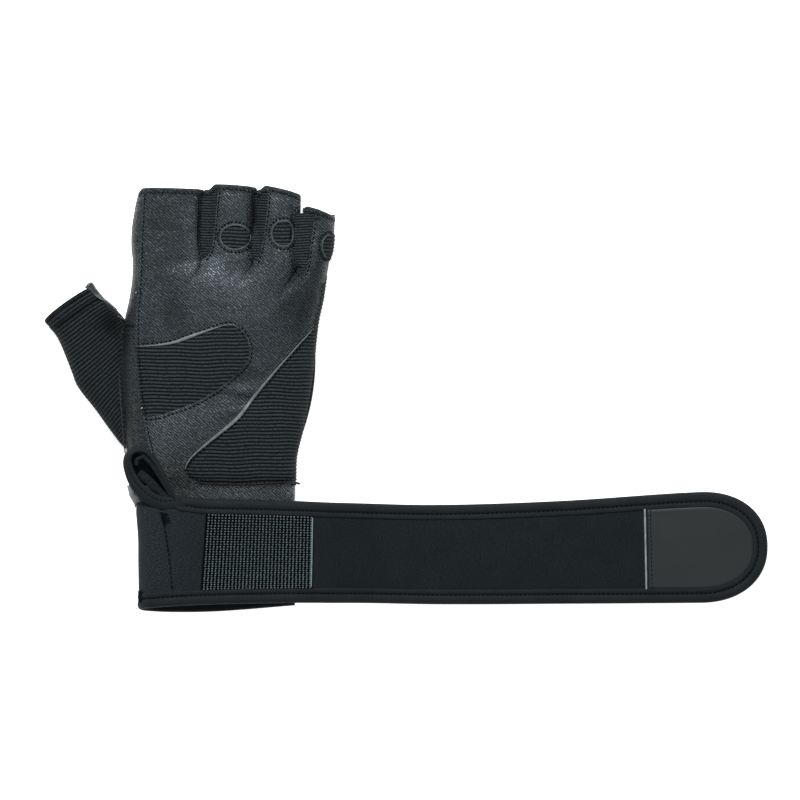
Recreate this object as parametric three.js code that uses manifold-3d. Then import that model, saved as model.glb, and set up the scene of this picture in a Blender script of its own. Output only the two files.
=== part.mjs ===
// A fingerless weightlifting glove for the right hand, laid on its palm with the long wrist strap
// undone and stretched out flat beside it. Millimetres. +X runs along the strap, +Y towards the
// fingers, +Z up from the surface that the glove lies on.
import * as THREE from "three";
import { mergeVertices } from "three/addons/utils/BufferGeometryUtils.js";
import Module from "manifold-3d";

const wasm = await Module();
wasm.setup();

// Sizes of the hand part
const HAND_WIDTH = 111; // across the knuckles, lying flat
const BODY_LENGTH = 192; // wrist opening to the webs between the fingers
const FINGER_LENGTH = 42; // web to the hem of the middle finger
const HAND_HEIGHT = 26; // palm to back over the knuckles
const WRIST_WIDTH = 83; // sleeve inside the strap
const WRIST_HEIGHT = 15; // sleeve inside the strap
const SHOULDER = 3.4; // length in which the sleeve widens to the hand, just past the strap
const THUMB_LENGTH = 59; // thumb seam to its hem
const THUMB_WIDTH = 32;
const THUMB_HEIGHT = 20;
const LEATHER = 1.5;
const KNIT = 1.0; // ribbed stretch cloth
const HEM_WIDTH = 3.4; // turned edge of a finger or of the thumb
const HEM_PROUD = 0.4; // that the turned edge stands out
const SLIT = 0.8; // free space between two fingers
const KNUCKLE_WINDOW = 18; // width of a whole knuckle window
const GAP = 0.3; // between neighbouring pieces

// Sizes of the strap
const STRAP_LENGTH = 450; // whole length, under the wrist, round the thumb side and out
const STRAP_WIDTH = 60;
const NEOPRENE = 3.0;
const NEOPRENE_EDGE = 1.2; // squeezed inside the binding
const TAPE = 0.8; // thickness of the binding's tape
const BINDING_WIDTH = 8.3; // tape on each face
const TIP_REACH = 38; // length of the rounded end
const SETTLE = 62; // length in which the strap comes down to the surface
const HOOK_LENGTH = 59; // hook tape along the strap
const HOOK_START = 27; // from the fold at the thumb side to the hook tape
const HOOK_THICKNESS = 1.1;
const TAB_LENGTH = 68; // smooth tab, from its straight edge to the strap's end
const TAB_THICKNESS = 0.9;
const PIPING = 1.8; // rolled edge of the tab
const PLEAT_THICKNESS = 3.4; // the strap's edge, folded and standing up

// Looks
const surface = (color, roughness) => new THREE.MeshStandardMaterial({ color, roughness, metalness: 0 });
const LEATHER_LOOK = surface(0x2b2f2f, 0.5);
const KNIT_LOOK = surface(0x17191a, 0.95);
const NEOPRENE_LOOK = surface(0x1b1f23, 0.9);
const BINDING_LOOK = surface(0x22272b, 0.85);
const HOOK_LOOK = surface(0x2c3533, 0.7);
const TAB_LOOK = surface(0x2a3031, 0.55);
const PIPING_LOOK = surface(0x8d908c, 0.6);

// Sections of the hand from the strap to the fingertips. v is the station: 0 at the wrist opening,
// 1 at the webs, 2 at the middle finger's hem. left, one, two, three and right are the outer edges
// and the lines between the fingers, as shares of HAND_WIDTH. thumb and little are the roundings of
// the two long sides and top the rise of the back over the side seam, as shares of HAND_HEIGHT.
const SECTION_COLUMNS = ["v", "left", "one", "two", "three", "right", "thumb", "little", "top"];
const SECTIONS = [
  [0.3, -0.505, -0.262, -0.061, 0.131, 0.318, 0.3, 0.3, 0.33],
  [0.36, -0.522, -0.272, -0.066, 0.131, 0.321, 0.34, 0.33, 0.4],
  [0.43, -0.53, -0.283, -0.066, 0.131, 0.326, 0.4, 0.38, 0.46],
  [0.505, -0.547, -0.293, -0.066, 0.141, 0.357, 0.45, 0.42, 0.5],
  [0.592, -0.56, -0.303, -0.066, 0.166, 0.388, 0.48, 0.46, 0.52],
  [0.68, -0.565, -0.303, -0.061, 0.182, 0.41, 0.48, 0.48, 0.535],
  [0.767, -0.557, -0.293, -0.05, 0.192, 0.424, 0.46, 0.5, 0.54],
  [0.825, -0.54, -0.277, -0.03, 0.212, 0.437, 0.44, 0.5, 0.54],
  [0.884, -0.517, -0.242, 0.0, 0.242, 0.459, 0.42, 0.5, 0.535],
  [0.942, -0.502, -0.192, 0.061, 0.303, 0.474, 0.4, 0.5, 0.525],
  [1.0, -0.499, -0.143, 0.116, 0.35, 0.49, 0.38, 0.5, 0.505],
  [1.14, -0.505, -0.144, 0.114, 0.343, 0.507, 0.36, 0.5, 0.48],
  [1.38, -0.505, -0.144, 0.114, 0.338, 0.515, 0.36, 0.48, 0.445],
  [1.59, -0.494, -0.141, 0.116, 0.348, 0.52, 0.36, 0.45, 0.43],
  [1.8, -0.479, -0.139, 0.121, 0.358, 0.525, 0.36, 0.42, 0.415],
  [1.98, -0.459, -0.136, 0.131, 0.363, 0.525, 0.36, 0.4, 0.405],
  [2.1, -0.454, -0.134, 0.136, 0.368, 0.525, 0.36, 0.4, 0.4],
].map((row) => Object.fromEntries(SECTION_COLUMNS.map((column, i) => [column, row[i]])));
const SLEEVE = { left: -0.5, one: -0.25, two: 0, three: 0.25, right: 0.5 }; // shares of WRIST_WIDTH
const SLEEVE_SHIFT = 0.035; // of the sleeve to the little finger's side, share of HAND_WIDTH
const SEAM_SHARE = 0.455; // height of the side seam, share of HAND_HEIGHT
const BLEND = 0.065; // stations over which the hand takes its height past the strap
const PALM_ROUND = 0.09; // rounding of the palm's sides, share of HAND_WIDTH
const PALM_POWER = 3; // squareness of that rounding

// Lines between the fingers. web is the station of the web, before and after are the roundings of
// the fingers on the line's two sides, and spread is how far the fingers part at their tips, as shares
// of HAND_WIDTH.
const WEBS = [
  { line: "one", web: 1.0, before: 0.055, after: 0.125, spread: 0 },
  { line: "two", web: 1.0, before: 0.05, after: 0.125, spread: 0 },
  { line: "three", web: 0.955, before: 0.06, after: 0.115, spread: 0.012 },
];
const GROOVE_START = 0.09; // stations of the hand below a web where its groove begins
const GROOVE_END = 0.5; // share of FINGER_LENGTH past the web where it has its full depth
const SLIT_START = 0.14; // share of FINGER_LENGTH past the web
const GROOVE_REST = 0.04; // share of the height left at the bottom of a groove

// Fingers. end values are the hem's stations past the web at its two sides, shares of FINGER_LENGTH.
const FINGERS = [
  { name: "index", from: "left", to: "one", endFrom: 0.95, endTo: 0.93 },
  { name: "middle", from: "one", to: "two", endFrom: 1.0, endTo: 0.96 },
  { name: "ring", from: "two", to: "three", endFrom: 1.0, endTo: 0.87 },
  { name: "little", from: "three", to: "right", endFrom: 0.72, endTo: 0.58 },
];

// Thumb sections along its own axis. at is a share of THUMB_LENGTH from the middle of its seam, low
// and high are its two edges as shares of THUMB_WIDTH, half its half height as a share of
// THUMB_HEIGHT.
const THUMB = [
  { at: -0.57, low: -0.46, high: 0.04, half: 0.22 },
  { at: -0.45, low: -0.58, high: 0.16, half: 0.36 },
  { at: -0.26, low: -0.61, high: 0.38, half: 0.46 },
  { at: 0.0, low: -0.616, high: 0.6, half: 0.49 },
  { at: 0.29, low: -0.64, high: 0.68, half: 0.5 },
  { at: 0.43, low: -0.58, high: 0.672, half: 0.5 },
  { at: 0.57, low: -0.515, high: 0.65, half: 0.495 },
  { at: 0.75, low: -0.437, high: 0.62, half: 0.49 },
  { at: 0.845, low: -0.405, high: 0.609, half: 0.485 },
  { at: 1.12, low: -0.415, high: 0.593, half: 0.48 },
];
// Middle of the thumb's seam, and its axis in degrees from +X.
const THUMB_BASE = { x: -0.54, v: 0.62, turn: 125 };
const THUMB_MIDDLE = 0.53; // height of its side seams, share of THUMB_HEIGHT
const THUMB_ROUND = 0.46; // rounding of its sides, share of THUMB_HEIGHT
const THUMB_BULGE = 0.03; // that the middle of its hem runs ahead, share of THUMB_LENGTH
const THUMB_WRAP = 0.075; // palm leather that shows along the inner edge, share of THUMB_WIDTH

// Soft dents in the back, and one ridge, which has a depth below 0. x, long and wide are shares of
// HAND_WIDTH, v a station, turn degrees, depth a share of HAND_HEIGHT.
const DENTS = [
  { x: -0.215, v: 0.985, long: 0.11, wide: 0.03, turn: 4, depth: 0.05 },
  { x: 0.075, v: 0.975, long: 0.07, wide: 0.04, turn: 25, depth: 0.035 },
  { x: -0.26, v: 0.86, long: 0.16, wide: 0.05, turn: 80, depth: 0.038 },
  { x: 0.06, v: 0.585, long: 0.1, wide: 0.024, turn: 8, depth: 0.042 },
  { x: -0.05, v: 0.925, long: 0.12, wide: 0.06, turn: -35, depth: -0.042 },
  { x: 0.3, v: 0.86, long: 0.16, wide: 0.05, turn: 62, depth: 0.027 },
];

// Seams and panels in plan: x is a share of HAND_WIDTH, v a station.
const SIDE_SEAM = [
  { x: -0.439, v: 2.2 },
  { x: -0.449, v: 1.8 },
  { x: -0.459, v: 1.14 },
  { x: -0.466, v: 0.93 },
  { x: -0.479, v: 0.79 },
  { x: -0.464, v: 0.65 },
  { x: -0.449, v: 0.572 },
  { x: -0.422, v: 0.48 },
  { x: -0.404, v: 0.43 },
  { x: -0.404, v: 0.325 },
];
const CROSS_SEAM = 0.8; // station where the side strip meets the thumb's gusset
const BACK_INSERT = [
  { x: -0.52, v: 0.745 },
  { x: -0.298, v: 0.755 },
  { x: -0.161, v: 0.782 },
  { x: -0.03, v: 0.806 },
  { x: 0.018, v: 0.805 },
  { x: 0.068, v: 0.779 },
  { x: 0.091, v: 0.742 },
  { x: 0.079, v: 0.703 },
  { x: 0.017, v: 0.664 },
  { x: -0.073, v: 0.621 },
  { x: -0.187, v: 0.583 },
  { x: -0.298, v: 0.56 },
  { x: -0.388, v: 0.545 },
  { x: -0.5, v: 0.55 },
];
const ULNAR_INSERT = [
  { x: 0.6, v: 0.925 },
  { x: 0.474, v: 0.925 },
  { x: 0.454, v: 0.866 },
  { x: 0.424, v: 0.814 },
  { x: 0.219, v: 0.677 },
  { x: 0.106, v: 0.598 },
  { x: 0.028, v: 0.54 },
  { x: -0.118, v: 0.47 },
  { x: -0.197, v: 0.43 },
  { x: -0.231, v: 0.404 },
  { x: -0.231, v: 0.384 },
  { x: -0.203, v: 0.36 },
  { x: -0.141, v: 0.35 },
  { x: 0.05, v: 0.346 },
  { x: 0.6, v: 0.357 },
];
const FOURCHETTES = [
  {
    name: "index_middle",
    outline: [
      { x: -0.154, v: 2.15 },
      { x: -0.161, v: 1.7 },
      { x: -0.172, v: 1.23 },
      { x: -0.139, v: 1.0 },
      { x: -0.103, v: 1.14 },
      { x: -0.084, v: 1.51 },
      { x: -0.063, v: 2.15 },
    ],
  },
  {
    name: "middle_ring",
    outline: [
      { x: 0.108, v: 2.15 },
      { x: 0.106, v: 1.51 },
      { x: 0.093, v: 1.12 },
      { x: 0.119, v: 0.995 },
      { x: 0.141, v: 1.14 },
      { x: 0.16, v: 1.42 },
      { x: 0.192, v: 2.15 },
    ],
  },
  {
    name: "ring_little",
    outline: [
      { x: 0.348, v: 2.15 },
      { x: 0.348, v: 1.7 },
      { x: 0.323, v: 1.59 },
      { x: 0.31, v: 1.27 },
      { x: 0.313, v: 1.07 },
      { x: 0.328, v: 0.978 },
      { x: 0.358, v: 0.952 },
      { x: 0.379, v: 0.98 },
      { x: 0.386, v: 1.04 },
      { x: 0.404, v: 1.36 },
      { x: 0.46, v: 2.15 },
    ],
  },
];
// Knuckle windows: middle point, and half width and half height as shares of KNUCKLE_WINDOW.
const KNUCKLES = [
  { name: "middle", x: 0.019, v: 1.315, wide: 0.49, high: 0.38 },
  { name: "ring", x: 0.255, v: 1.36, wide: 0.35, high: 0.385 },
  { name: "little", x: 0.495, v: 1.19, wide: 0.24, high: 0.385 },
];
const KNUCKLE_SIDES = 12;

// The strap's two long edges from the wrist opening's line. at is a share of STRAP_LENGTH from its
// hidden end, low and high are shares of STRAP_WIDTH.
const STRAP_EDGES = [
  { at: 0, low: -0.03, high: 0.93 },
  { at: 0.168, low: -0.07, high: 0.92 },
  { at: 0.2, low: -0.06, high: 0.9 },
  { at: 0.235, low: -0.03, high: 0.92 },
  { at: 0.253, low: -0.02, high: 1.0 },
  { at: 0.293, low: -0.005, high: 0.98 },
  { at: 0.351, low: 0.005, high: 0.97 },
  { at: 0.405, low: 0.01, high: 0.958 },
  { at: 0.463, low: 0, high: 0.937 },
  { at: 0.583, low: -0.02, high: 0.913 },
  { at: 0.741, low: -0.016, high: 0.95 },
  { at: 0.903, low: -0.008, high: 1.03 },
  { at: 1, low: 0, high: 1.045 },
];
const TIP_POWER = 2.2; // squareness of the rounded end

// The pleat seen from above, as shares of STRAP_WIDTH: x from the fold's middle, y from the wrist
// opening's line.
const PLEAT_OUTER = [
  { x: 0.155, y: 0.935 },
  { x: 0.01, y: 0.99 },
  { x: -0.12, y: 1.075 },
  { x: -0.222, y: 1.176 },
  { x: -0.268, y: 1.285 },
  { x: -0.245, y: 1.38 },
  { x: -0.19, y: 1.42 },
  { x: -0.125, y: 1.4 },
  { x: -0.07, y: 1.307 },
  { x: 0.005, y: 1.185 },
  { x: 0.1, y: 1.035 },
];
const PLEAT_INNER = [
  { x: 0.065, y: 1.035 },
  { x: -0.02, y: 1.11 },
  { x: -0.11, y: 1.2 },
  { x: -0.175, y: 1.235 },
];
const PLEAT_STEPS = 16;
const CUTTER_REACH = 400; // cutters are taller and wider than the glove

// Small helpers
const clamp = (value, low, high) => Math.min(high, Math.max(low, value));
const mix = (a, b, share) => a + (b - a) * share;
const radians = THREE.MathUtils.degToRad;

function smoothStep(from, to, value) {
  const t = clamp((value - from) / (to - from), 0, 1);
  return t * t * (3 - 2 * t);
}

// A column of a table, read smoothly at any place between its rows.
function readTable(rows, key, column, place) {
  const last = rows.length - 1;
  if (place <= rows[0][key]) return rows[0][column];
  if (place >= rows[last][key]) return rows[last][column];
  const i = rows.findIndex((row, n) => n < last && place < rows[n + 1][key]);
  const slope = (n) => {
    const a = rows[Math.max(0, n - 1)];
    const b = rows[Math.min(last, n + 1)];
    return (b[column] - a[column]) / (b[key] - a[key]);
  };
  const span = rows[i + 1][key] - rows[i][key];
  const t = (place - rows[i][key]) / span;
  const rise = 3 * t ** 2 - 2 * t ** 3;
  const leave = (t ** 3 - 2 * t ** 2 + t) * slope(i) * span;
  const arrive = (t ** 3 - t ** 2) * slope(i + 1) * span;
  return mix(rows[i][column], rows[i + 1][column], rise) + leave + arrive;
}

// How far a rounded side has risen, 0 to 1, at a distance in from its edge.
function rounding(distance, radius, power = 2) {
  const t = clamp(distance / radius, 0, 1);
  return (1 - (1 - t) ** power) ** (1 / power);
}

// Solids
function toSolid(geometry) {
  const bare = geometry.clone();
  bare.deleteAttribute("normal");
  bare.deleteAttribute("uv");
  const merged = mergeVertices(bare, 1e-4);
  const corners = [...merged.index.array];
  const triVerts = [];
  for (let i = 0; i < corners.length; i += 3) {
    const [a, b, c] = corners.slice(i, i + 3);
    if (a !== b && b !== c && c !== a) triVerts.push(a, b, c);
  }
  const vertProperties = new Float32Array(merged.attributes.position.array);
  const mesh = new wasm.Mesh({ numProp: 3, vertProperties, triVerts: new Uint32Array(triVerts) });
  return new wasm.Manifold(mesh);
}

function toMesh(name, solid, look) {
  const { vertProperties, triVerts } = solid.getMesh();
  const geometry = new THREE.BufferGeometry();
  geometry.setAttribute("position", new THREE.BufferAttribute(new Float32Array(vertProperties), 3));
  geometry.setIndex(new THREE.BufferAttribute(new Uint32Array(triVerts), 1));
  geometry.computeVertexNormals();
  const mesh = new THREE.Mesh(geometry, look);
  mesh.name = name;
  return mesh;
}

const unite = (solids) => solids.reduce((all, solid) => all.add(solid));
const cutAway = (solid, cutters) => cutters.reduce((rest, cutter) => rest.subtract(cutter), solid);

// A closed body between an upper and a lower skin. rows is a list of sections, each a list of
// { top, bottom } points; the next row lies to the left of a section's own direction, seen from above.
function skinBody(rows) {
  const positions = [];
  const index = [];
  const put = (p) => positions.push(p.x, p.y, p.z) / 3 - 1;
  const top = rows.map((row) => row.map((pair) => put(pair.top)));
  const bottom = rows.map((row) => row.map((pair) => put(pair.bottom)));
  const quad = (a, b, c, d) => index.push(a, b, c, a, c, d);
  const endRow = rows.length - 1;
  const endPlace = rows[0].length - 1;
  for (let i = 0; i < endRow; i++) {
    for (let j = 0; j < endPlace; j++) {
      quad(top[i][j], top[i][j + 1], top[i + 1][j + 1], top[i + 1][j]);
      quad(bottom[i][j], bottom[i + 1][j], bottom[i + 1][j + 1], bottom[i][j + 1]);
    }
    quad(top[i][0], top[i + 1][0], bottom[i + 1][0], bottom[i][0]);
    quad(top[i][endPlace], bottom[i][endPlace], bottom[i + 1][endPlace], top[i + 1][endPlace]);
  }
  for (let j = 0; j < endPlace; j++) {
    quad(top[0][j], bottom[0][j], bottom[0][j + 1], top[0][j + 1]);
    quad(top[endRow][j], top[endRow][j + 1], bottom[endRow][j + 1], bottom[endRow][j]);
  }
  const geometry = new THREE.BufferGeometry();
  geometry.setAttribute("position", new THREE.Float32BufferAttribute(positions, 3));
  geometry.setIndex(index);
  return toSolid(geometry);
}

const pairAt = (x, y, top, bottom) => ({
  top: new THREE.Vector3(x, y, top),
  bottom: new THREE.Vector3(x, y, bottom),
});

// An upright cutter of a plan outline, between two heights.
function upright(points, from = -CUTTER_REACH, to = CUTTER_REACH) {
  const geometry = new THREE.ExtrudeGeometry(new THREE.Shape(points), {
    depth: to - from,
    bevelEnabled: false,
  });
  geometry.translate(0, 0, from);
  return toSolid(geometry);
}

// A closed plan outline moved outwards by a distance.
function grown(points, distance) {
  const turn = THREE.ShapeUtils.isClockWise(points) ? -1 : 1;
  return points.map((p, i) => {
    const before = points[(i + points.length - 1) % points.length];
    const after = points[(i + 1) % points.length];
    const arriving = new THREE.Vector2().subVectors(p, before).normalize();
    const leaving = new THREE.Vector2().subVectors(after, p).normalize();
    const side = new THREE.Vector2(arriving.y, -arriving.x).multiplyScalar(turn);
    const nextSide = new THREE.Vector2(leaving.y, -leaving.x).multiplyScalar(turn);
    const normal = side.clone().add(nextSide).normalize();
    return p.clone().addScaledVector(normal, distance / Math.max(0.5, normal.dot(side)));
  });
}

// Strap
const strapStack = NEOPRENE_EDGE + 2 * GAP + 2 * TAPE; // whole thickness over the binding
const sleeveFloor = strapStack + GAP;
const sleeveMiddle = SLEEVE_SHIFT * HAND_WIDTH + ((SECTIONS[0].left + SECTIONS[0].right) / 2) * HAND_WIDTH;
const foldRadius = WRIST_HEIGHT / 2 + GAP + strapStack / 2; // of the strap's middle round the thumb side
const foldX = sleeveMiddle - WRIST_WIDTH / 2 + WRIST_HEIGHT / 2;
const foldZ = sleeveFloor + WRIST_HEIGHT / 2;
const wristRun = WRIST_WIDTH - WRIST_HEIGHT / 2; // flat run under the wrist, from the hidden end
const overRun = WRIST_WIDTH - WRIST_HEIGHT; // flat run over the wrist

// Places along the strap's middle, from its hidden end.
const foldStart = wristRun;
const foldEnd = foldStart + Math.PI * foldRadius;
const settleStart = foldEnd + overRun;
const SETTLE_STEPS = 8;
const FOLD_STEPS = 8;

const settleHeight = (t) => foldZ + foldRadius - 2 * foldRadius * (t * t * (3 - 2 * t));
const settleLength = Array.from({ length: SETTLE_STEPS }, (_, i) => {
  const [a, b] = [i / SETTLE_STEPS, (i + 1) / SETTLE_STEPS];
  return Math.hypot(SETTLE / SETTLE_STEPS, settleHeight(b) - settleHeight(a));
}).reduce((sum, step) => sum + step);
const settleEnd = settleStart + settleLength;

// Point and outward direction on the strap's middle at a place along it.
function strapPoint(s) {
  if (s < foldStart) {
    return { x: foldX + foldStart - s, z: foldZ - foldRadius, nx: 0, nz: -1 };
  }
  if (s < foldEnd) {
    const turn = ((s - foldStart) / (foldEnd - foldStart)) * Math.PI;
    const [nx, nz] = [-Math.sin(turn), -Math.cos(turn)];
    return { x: foldX + foldRadius * nx, z: foldZ + foldRadius * nz, nx, nz };
  }
  if (s < settleStart) {
    return { x: foldX + s - foldEnd, z: foldZ + foldRadius, nx: 0, nz: 1 };
  }
  if (s < settleEnd) {
    const t = (s - settleStart) / settleLength;
    const slope = (-12 * foldRadius * t * (1 - t)) / SETTLE;
    const steep = Math.hypot(1, slope);
    return { x: foldX + overRun + t * SETTLE, z: settleHeight(t), nx: -slope / steep, nz: 1 / steep };
  }
  return { x: foldX + overRun + SETTLE + s - settleEnd, z: foldZ - foldRadius, nx: 0, nz: 1 };
}

const strapEdge = (side, s) => readTable(STRAP_EDGES, "at", side, s / STRAP_LENGTH) * STRAP_WIDTH;

// Places along the strap where its solids have a section, from one place to another.
const FLAT_STEP = 45; // between sections on a straight run
const TIP_TURNS = [0, 20, 38, 54, 67, 78, 87]; // degrees round the end

function strapPlaces(from, to, inset) {
  const tip = STRAP_LENGTH - inset;
  const reach = TIP_REACH - inset;
  const places = [from, to, foldStart, foldEnd, settleStart, settleEnd];
  const spread = (a, b, steps) => {
    for (let i = 1; i < steps; i++) places.push(mix(a, b, i / steps));
  };
  spread(0, foldStart, 2);
  spread(foldStart, foldEnd, FOLD_STEPS);
  spread(foldEnd, settleStart, 4);
  spread(settleStart, settleEnd, SETTLE_STEPS);
  spread(settleEnd, STRAP_LENGTH - TIP_REACH, Math.ceil((STRAP_LENGTH - settleEnd) / FLAT_STEP));
  TIP_TURNS.forEach((turn) => places.push(tip - reach * (1 - Math.sin(radians(turn)))));
  return [...new Set(places)].filter((s) => s >= from && s <= to).sort((a, b) => a - b);
}

// A slab that follows the strap, inset from its edges, between two heights over its middle.
function strapSlab({ inset = 0, low, high, from = inset, to = STRAP_LENGTH - inset }) {
  const tip = STRAP_LENGTH - inset;
  const reach = TIP_REACH - inset;
  const end = Math.min(to, tip - reach * (1 - Math.sin(radians(TIP_TURNS.at(-1)))));
  const places = strapPlaces(from, end, inset);
  const row = (share) =>
    places.map((s) => {
      const bottomEdge = strapEdge("low", s) + inset;
      const topEdge = strapEdge("high", s) - inset;
      const round = clamp((s - tip + reach) / reach, 0, 1);
      const width = (1 - round ** TIP_POWER) ** (1 / TIP_POWER);
      const y = (bottomEdge + topEdge) / 2 + (share * (topEdge - bottomEdge) * width) / 2;
      const p = strapPoint(s);
      return {
        top: new THREE.Vector3(p.x + p.nx * high, y, p.z + p.nz * high),
        bottom: new THREE.Vector3(p.x + p.nx * low, y, p.z + p.nz * low),
      };
    });
  return skinBody([row(-1), row(1)]);
}

function strapPieces() {
  const facing = NEOPRENE / 2 + GAP; // underside of what is sewn on
  const panelInset = BINDING_WIDTH + GAP;
  const hookFrom = foldEnd + HOOK_START;
  const tabFrom = STRAP_LENGTH - TAB_LENGTH;
  const half = strapStack / 2;
  const core = strapSlab({ inset: TAPE + GAP, low: -NEOPRENE_EDGE / 2, high: NEOPRENE_EDGE / 2 });
  const thick = strapSlab({ inset: panelInset, low: -NEOPRENE / 2, high: NEOPRENE / 2 });
  const whole = strapSlab({ low: -half, high: half });
  const window = strapSlab({ inset: BINDING_WIDTH, low: -2 * half, high: 2 * half });
  const channel = strapSlab({ inset: TAPE, low: TAPE - half, high: half - TAPE });
  const hook = strapSlab({
    inset: panelInset + GAP,
    low: facing,
    high: facing + HOOK_THICKNESS,
    from: hookFrom,
    to: hookFrom + HOOK_LENGTH,
  });
  const tab = strapSlab({
    inset: panelInset,
    low: facing,
    high: facing + TAB_THICKNESS,
    from: tabFrom,
  });
  const piping = strapSlab({
    inset: panelInset,
    low: facing,
    high: facing + PIPING,
    from: tabFrom - GAP - PIPING,
    to: tabFrom - GAP,
  });
  return [
    toMesh("wrist_strap", core.add(thick), NEOPRENE_LOOK),
    toMesh("strap_binding", cutAway(whole, [window, channel]), BINDING_LOOK),
    toMesh("hook_tape", hook, HOOK_LOOK),
    toMesh("end_tab", tab, TAB_LOOK),
    toMesh("tab_piping", piping, PIPING_LOOK),
  ];
}

// Hand
const stationY = (v) => (v < 1 ? v * BODY_LENGTH : BODY_LENGTH + (v - 1) * FINGER_LENGTH);
const stationOf = (y) => (y < BODY_LENGTH ? y / BODY_LENGTH : 1 + (y - BODY_LENGTH) / FINGER_LENGTH);
const planPoint = ({ x, v }) => new THREE.Vector2(x * HAND_WIDTH, stationY(v));

const EDGE_STEPS = 40;

// The highest place of the strap's upper edge along a stretch of it.
function strapTop(from, to) {
  const places = Array.from({ length: EDGE_STEPS + 1 }, (_, i) => mix(from, to, i / EDGE_STEPS));
  return Math.max(...places.map((s) => strapEdge("high", s)));
}

const shoulderStart = strapTop(foldStart, foldEnd) + GAP; // past the strap's fold
const heightStart = strapTop(0, settleStart) + GAP; // past the strap over and under the wrist

const handShare = (y) => smoothStep(shoulderStart, shoulderStart + SHOULDER, y);
const heightShare = (y) => smoothStep(heightStart, heightStart + BLEND * BODY_LENGTH, y);

function handEdge(column, y) {
  const sleeve = sleeveMiddle + SLEEVE[column] * WRIST_WIDTH;
  return mix(sleeve, readTable(SECTIONS, "v", column, stationOf(y)) * HAND_WIDTH, handShare(y));
}

function handSize(column, y) {
  const hand = readTable(SECTIONS, "v", column, stationOf(y)) * HAND_HEIGHT;
  return mix(WRIST_HEIGHT / 2, hand, heightShare(y));
}

const seamHeight = (y) => mix(foldZ, SEAM_SHARE * HAND_HEIGHT, heightShare(y));

const HEM_RAISED = 1.5; // station from which the underside is raised for the hems

// The underside, a little raised where the turned edges of the fingers stand out.
function floorAt(y) {
  const raised = smoothStep(BODY_LENGTH, stationY(HEM_RAISED), y) * HEM_PROUD;
  return mix(sleeveFloor, raised, heightShare(y));
}

// How deep a groove between two fingers is at a station, 0 to 1.
function grooveDepth(web, y) {
  const from = stationY(web.web - GROOVE_START);
  return smoothStep(from, stationY(web.web) + GROOVE_END * FINGER_LENGTH, y);
}

// Share of the full height that the grooves between the fingers leave.
function grooves(x, y, palmSide) {
  const share = WEBS.reduce((rest, web) => {
    const line = handEdge(web.line, y);
    const side = palmSide ? PALM_ROUND : x < line ? web.before : web.after;
    return rest * (1 - grooveDepth(web, y) * (1 - rounding(Math.abs(x - line), side * HAND_WIDTH)));
  }, 1);
  return Math.max(GROOVE_REST, share);
}

function dents(x, y) {
  return DENTS.reduce((sum, dent) => {
    const angle = radians(dent.turn);
    const dx = x - dent.x * HAND_WIDTH;
    const dy = y - stationY(dent.v);
    const along = (dx * Math.cos(angle) + dy * Math.sin(angle)) / (dent.long * HAND_WIDTH);
    const across = (dy * Math.cos(angle) - dx * Math.sin(angle)) / (dent.wide * HAND_WIDTH);
    return sum + dent.depth * HAND_HEIGHT * Math.exp(-along * along - across * across);
  }, 0);
}

// What a wall of a given inset leaves of a share of a height.
const thinned = (share, full, inset) => Math.max(GROOVE_REST, (full * share - inset) / (full - inset));

function backHeight(x, y, inset = 0) {
  const left = rounding(x - handEdge("left", y) - inset, handSize("thumb", y));
  const right = rounding(handEdge("right", y) - inset - x, handSize("little", y));
  const full = handSize("top", y) - dents(x, y) * heightShare(y);
  const groove = thinned(grooves(x, y, false), full, inset);
  return seamHeight(y) + (full - inset) * left * right * groove;
}

function palmHeight(x, y, inset = 0) {
  const round = mix(WRIST_HEIGHT / 2, PALM_ROUND * HAND_WIDTH, heightShare(y));
  const power = mix(2, PALM_POWER, heightShare(y));
  const left = rounding(x - handEdge("left", y) - inset, round, power);
  const right = rounding(handEdge("right", y) - inset - x, round, power);
  const full = seamHeight(y) - floorAt(y);
  const groove = thinned(grooves(x, y, true), full, inset);
  return seamHeight(y) - (full - inset) * left * right * groove;
}

// Places across a span with rounded sides, given the turns of each side's rounding in degrees.
const SIDE_TURNS = [0, 22, 50, 90];
const GROOVE_TURNS = [0, 45, 90];
const FILL = 0.92; // most of a span that its two roundings may take

function placesAcross(from, to, roundFrom, roundTo, turnsFrom, turnsTo) {
  const fit = Math.min(1, (FILL * (to - from)) / (roundFrom + roundTo));
  const reach = (round, turn) => round * fit * (1 - Math.cos(radians(turn)));
  const rising = turnsFrom.map((turn) => from + reach(roundFrom, turn));
  const falling = turnsTo.map((turn) => to - reach(roundTo, turn)).reverse();
  return [...rising, ...falling];
}

function handPlaces(y, inset) {
  const lines = WEBS.map((web) => handEdge(web.line, y));
  const bounds = [handEdge("left", y) + inset, ...lines, handEdge("right", y) - inset];
  return bounds.slice(1).flatMap((bound, k) => {
    const first = k === 0;
    const last = k === WEBS.length;
    const roundFrom = first ? handSize("thumb", y) : WEBS[k - 1].after * HAND_WIDTH;
    const roundTo = last ? handSize("little", y) : WEBS[k].before * HAND_WIDTH;
    const turnsFrom = first ? SIDE_TURNS : GROOVE_TURNS;
    const turnsTo = last ? SIDE_TURNS : GROOVE_TURNS;
    const row = placesAcross(bounds[k], bound, roundFrom, roundTo, turnsFrom, turnsTo);
    return first ? row : row.slice(1);
  });
}

// Stations of the sections, closer together where the hand changes quickly.
const BACK_STATIONS = [0.44, 0.54, 0.64, 0.73, 0.8, 0.86, 0.91, 0.955, 1.0, 1.12, 1.25, 1.4, 1.6, 2.1];
const PALM_STATIONS = [0.52, 0.7, 0.85, 0.95, 1.1, 1.35, 2.1];
const HOLLOW_STATIONS = [0.44, 0.54, 0.64, 0.73, 0.8, 0.88, 0.94, 1.0];
const WRIST_STEPS = 2;
const MOUTH = 0.05; // stations that the hollow runs on past the wrist opening

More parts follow.
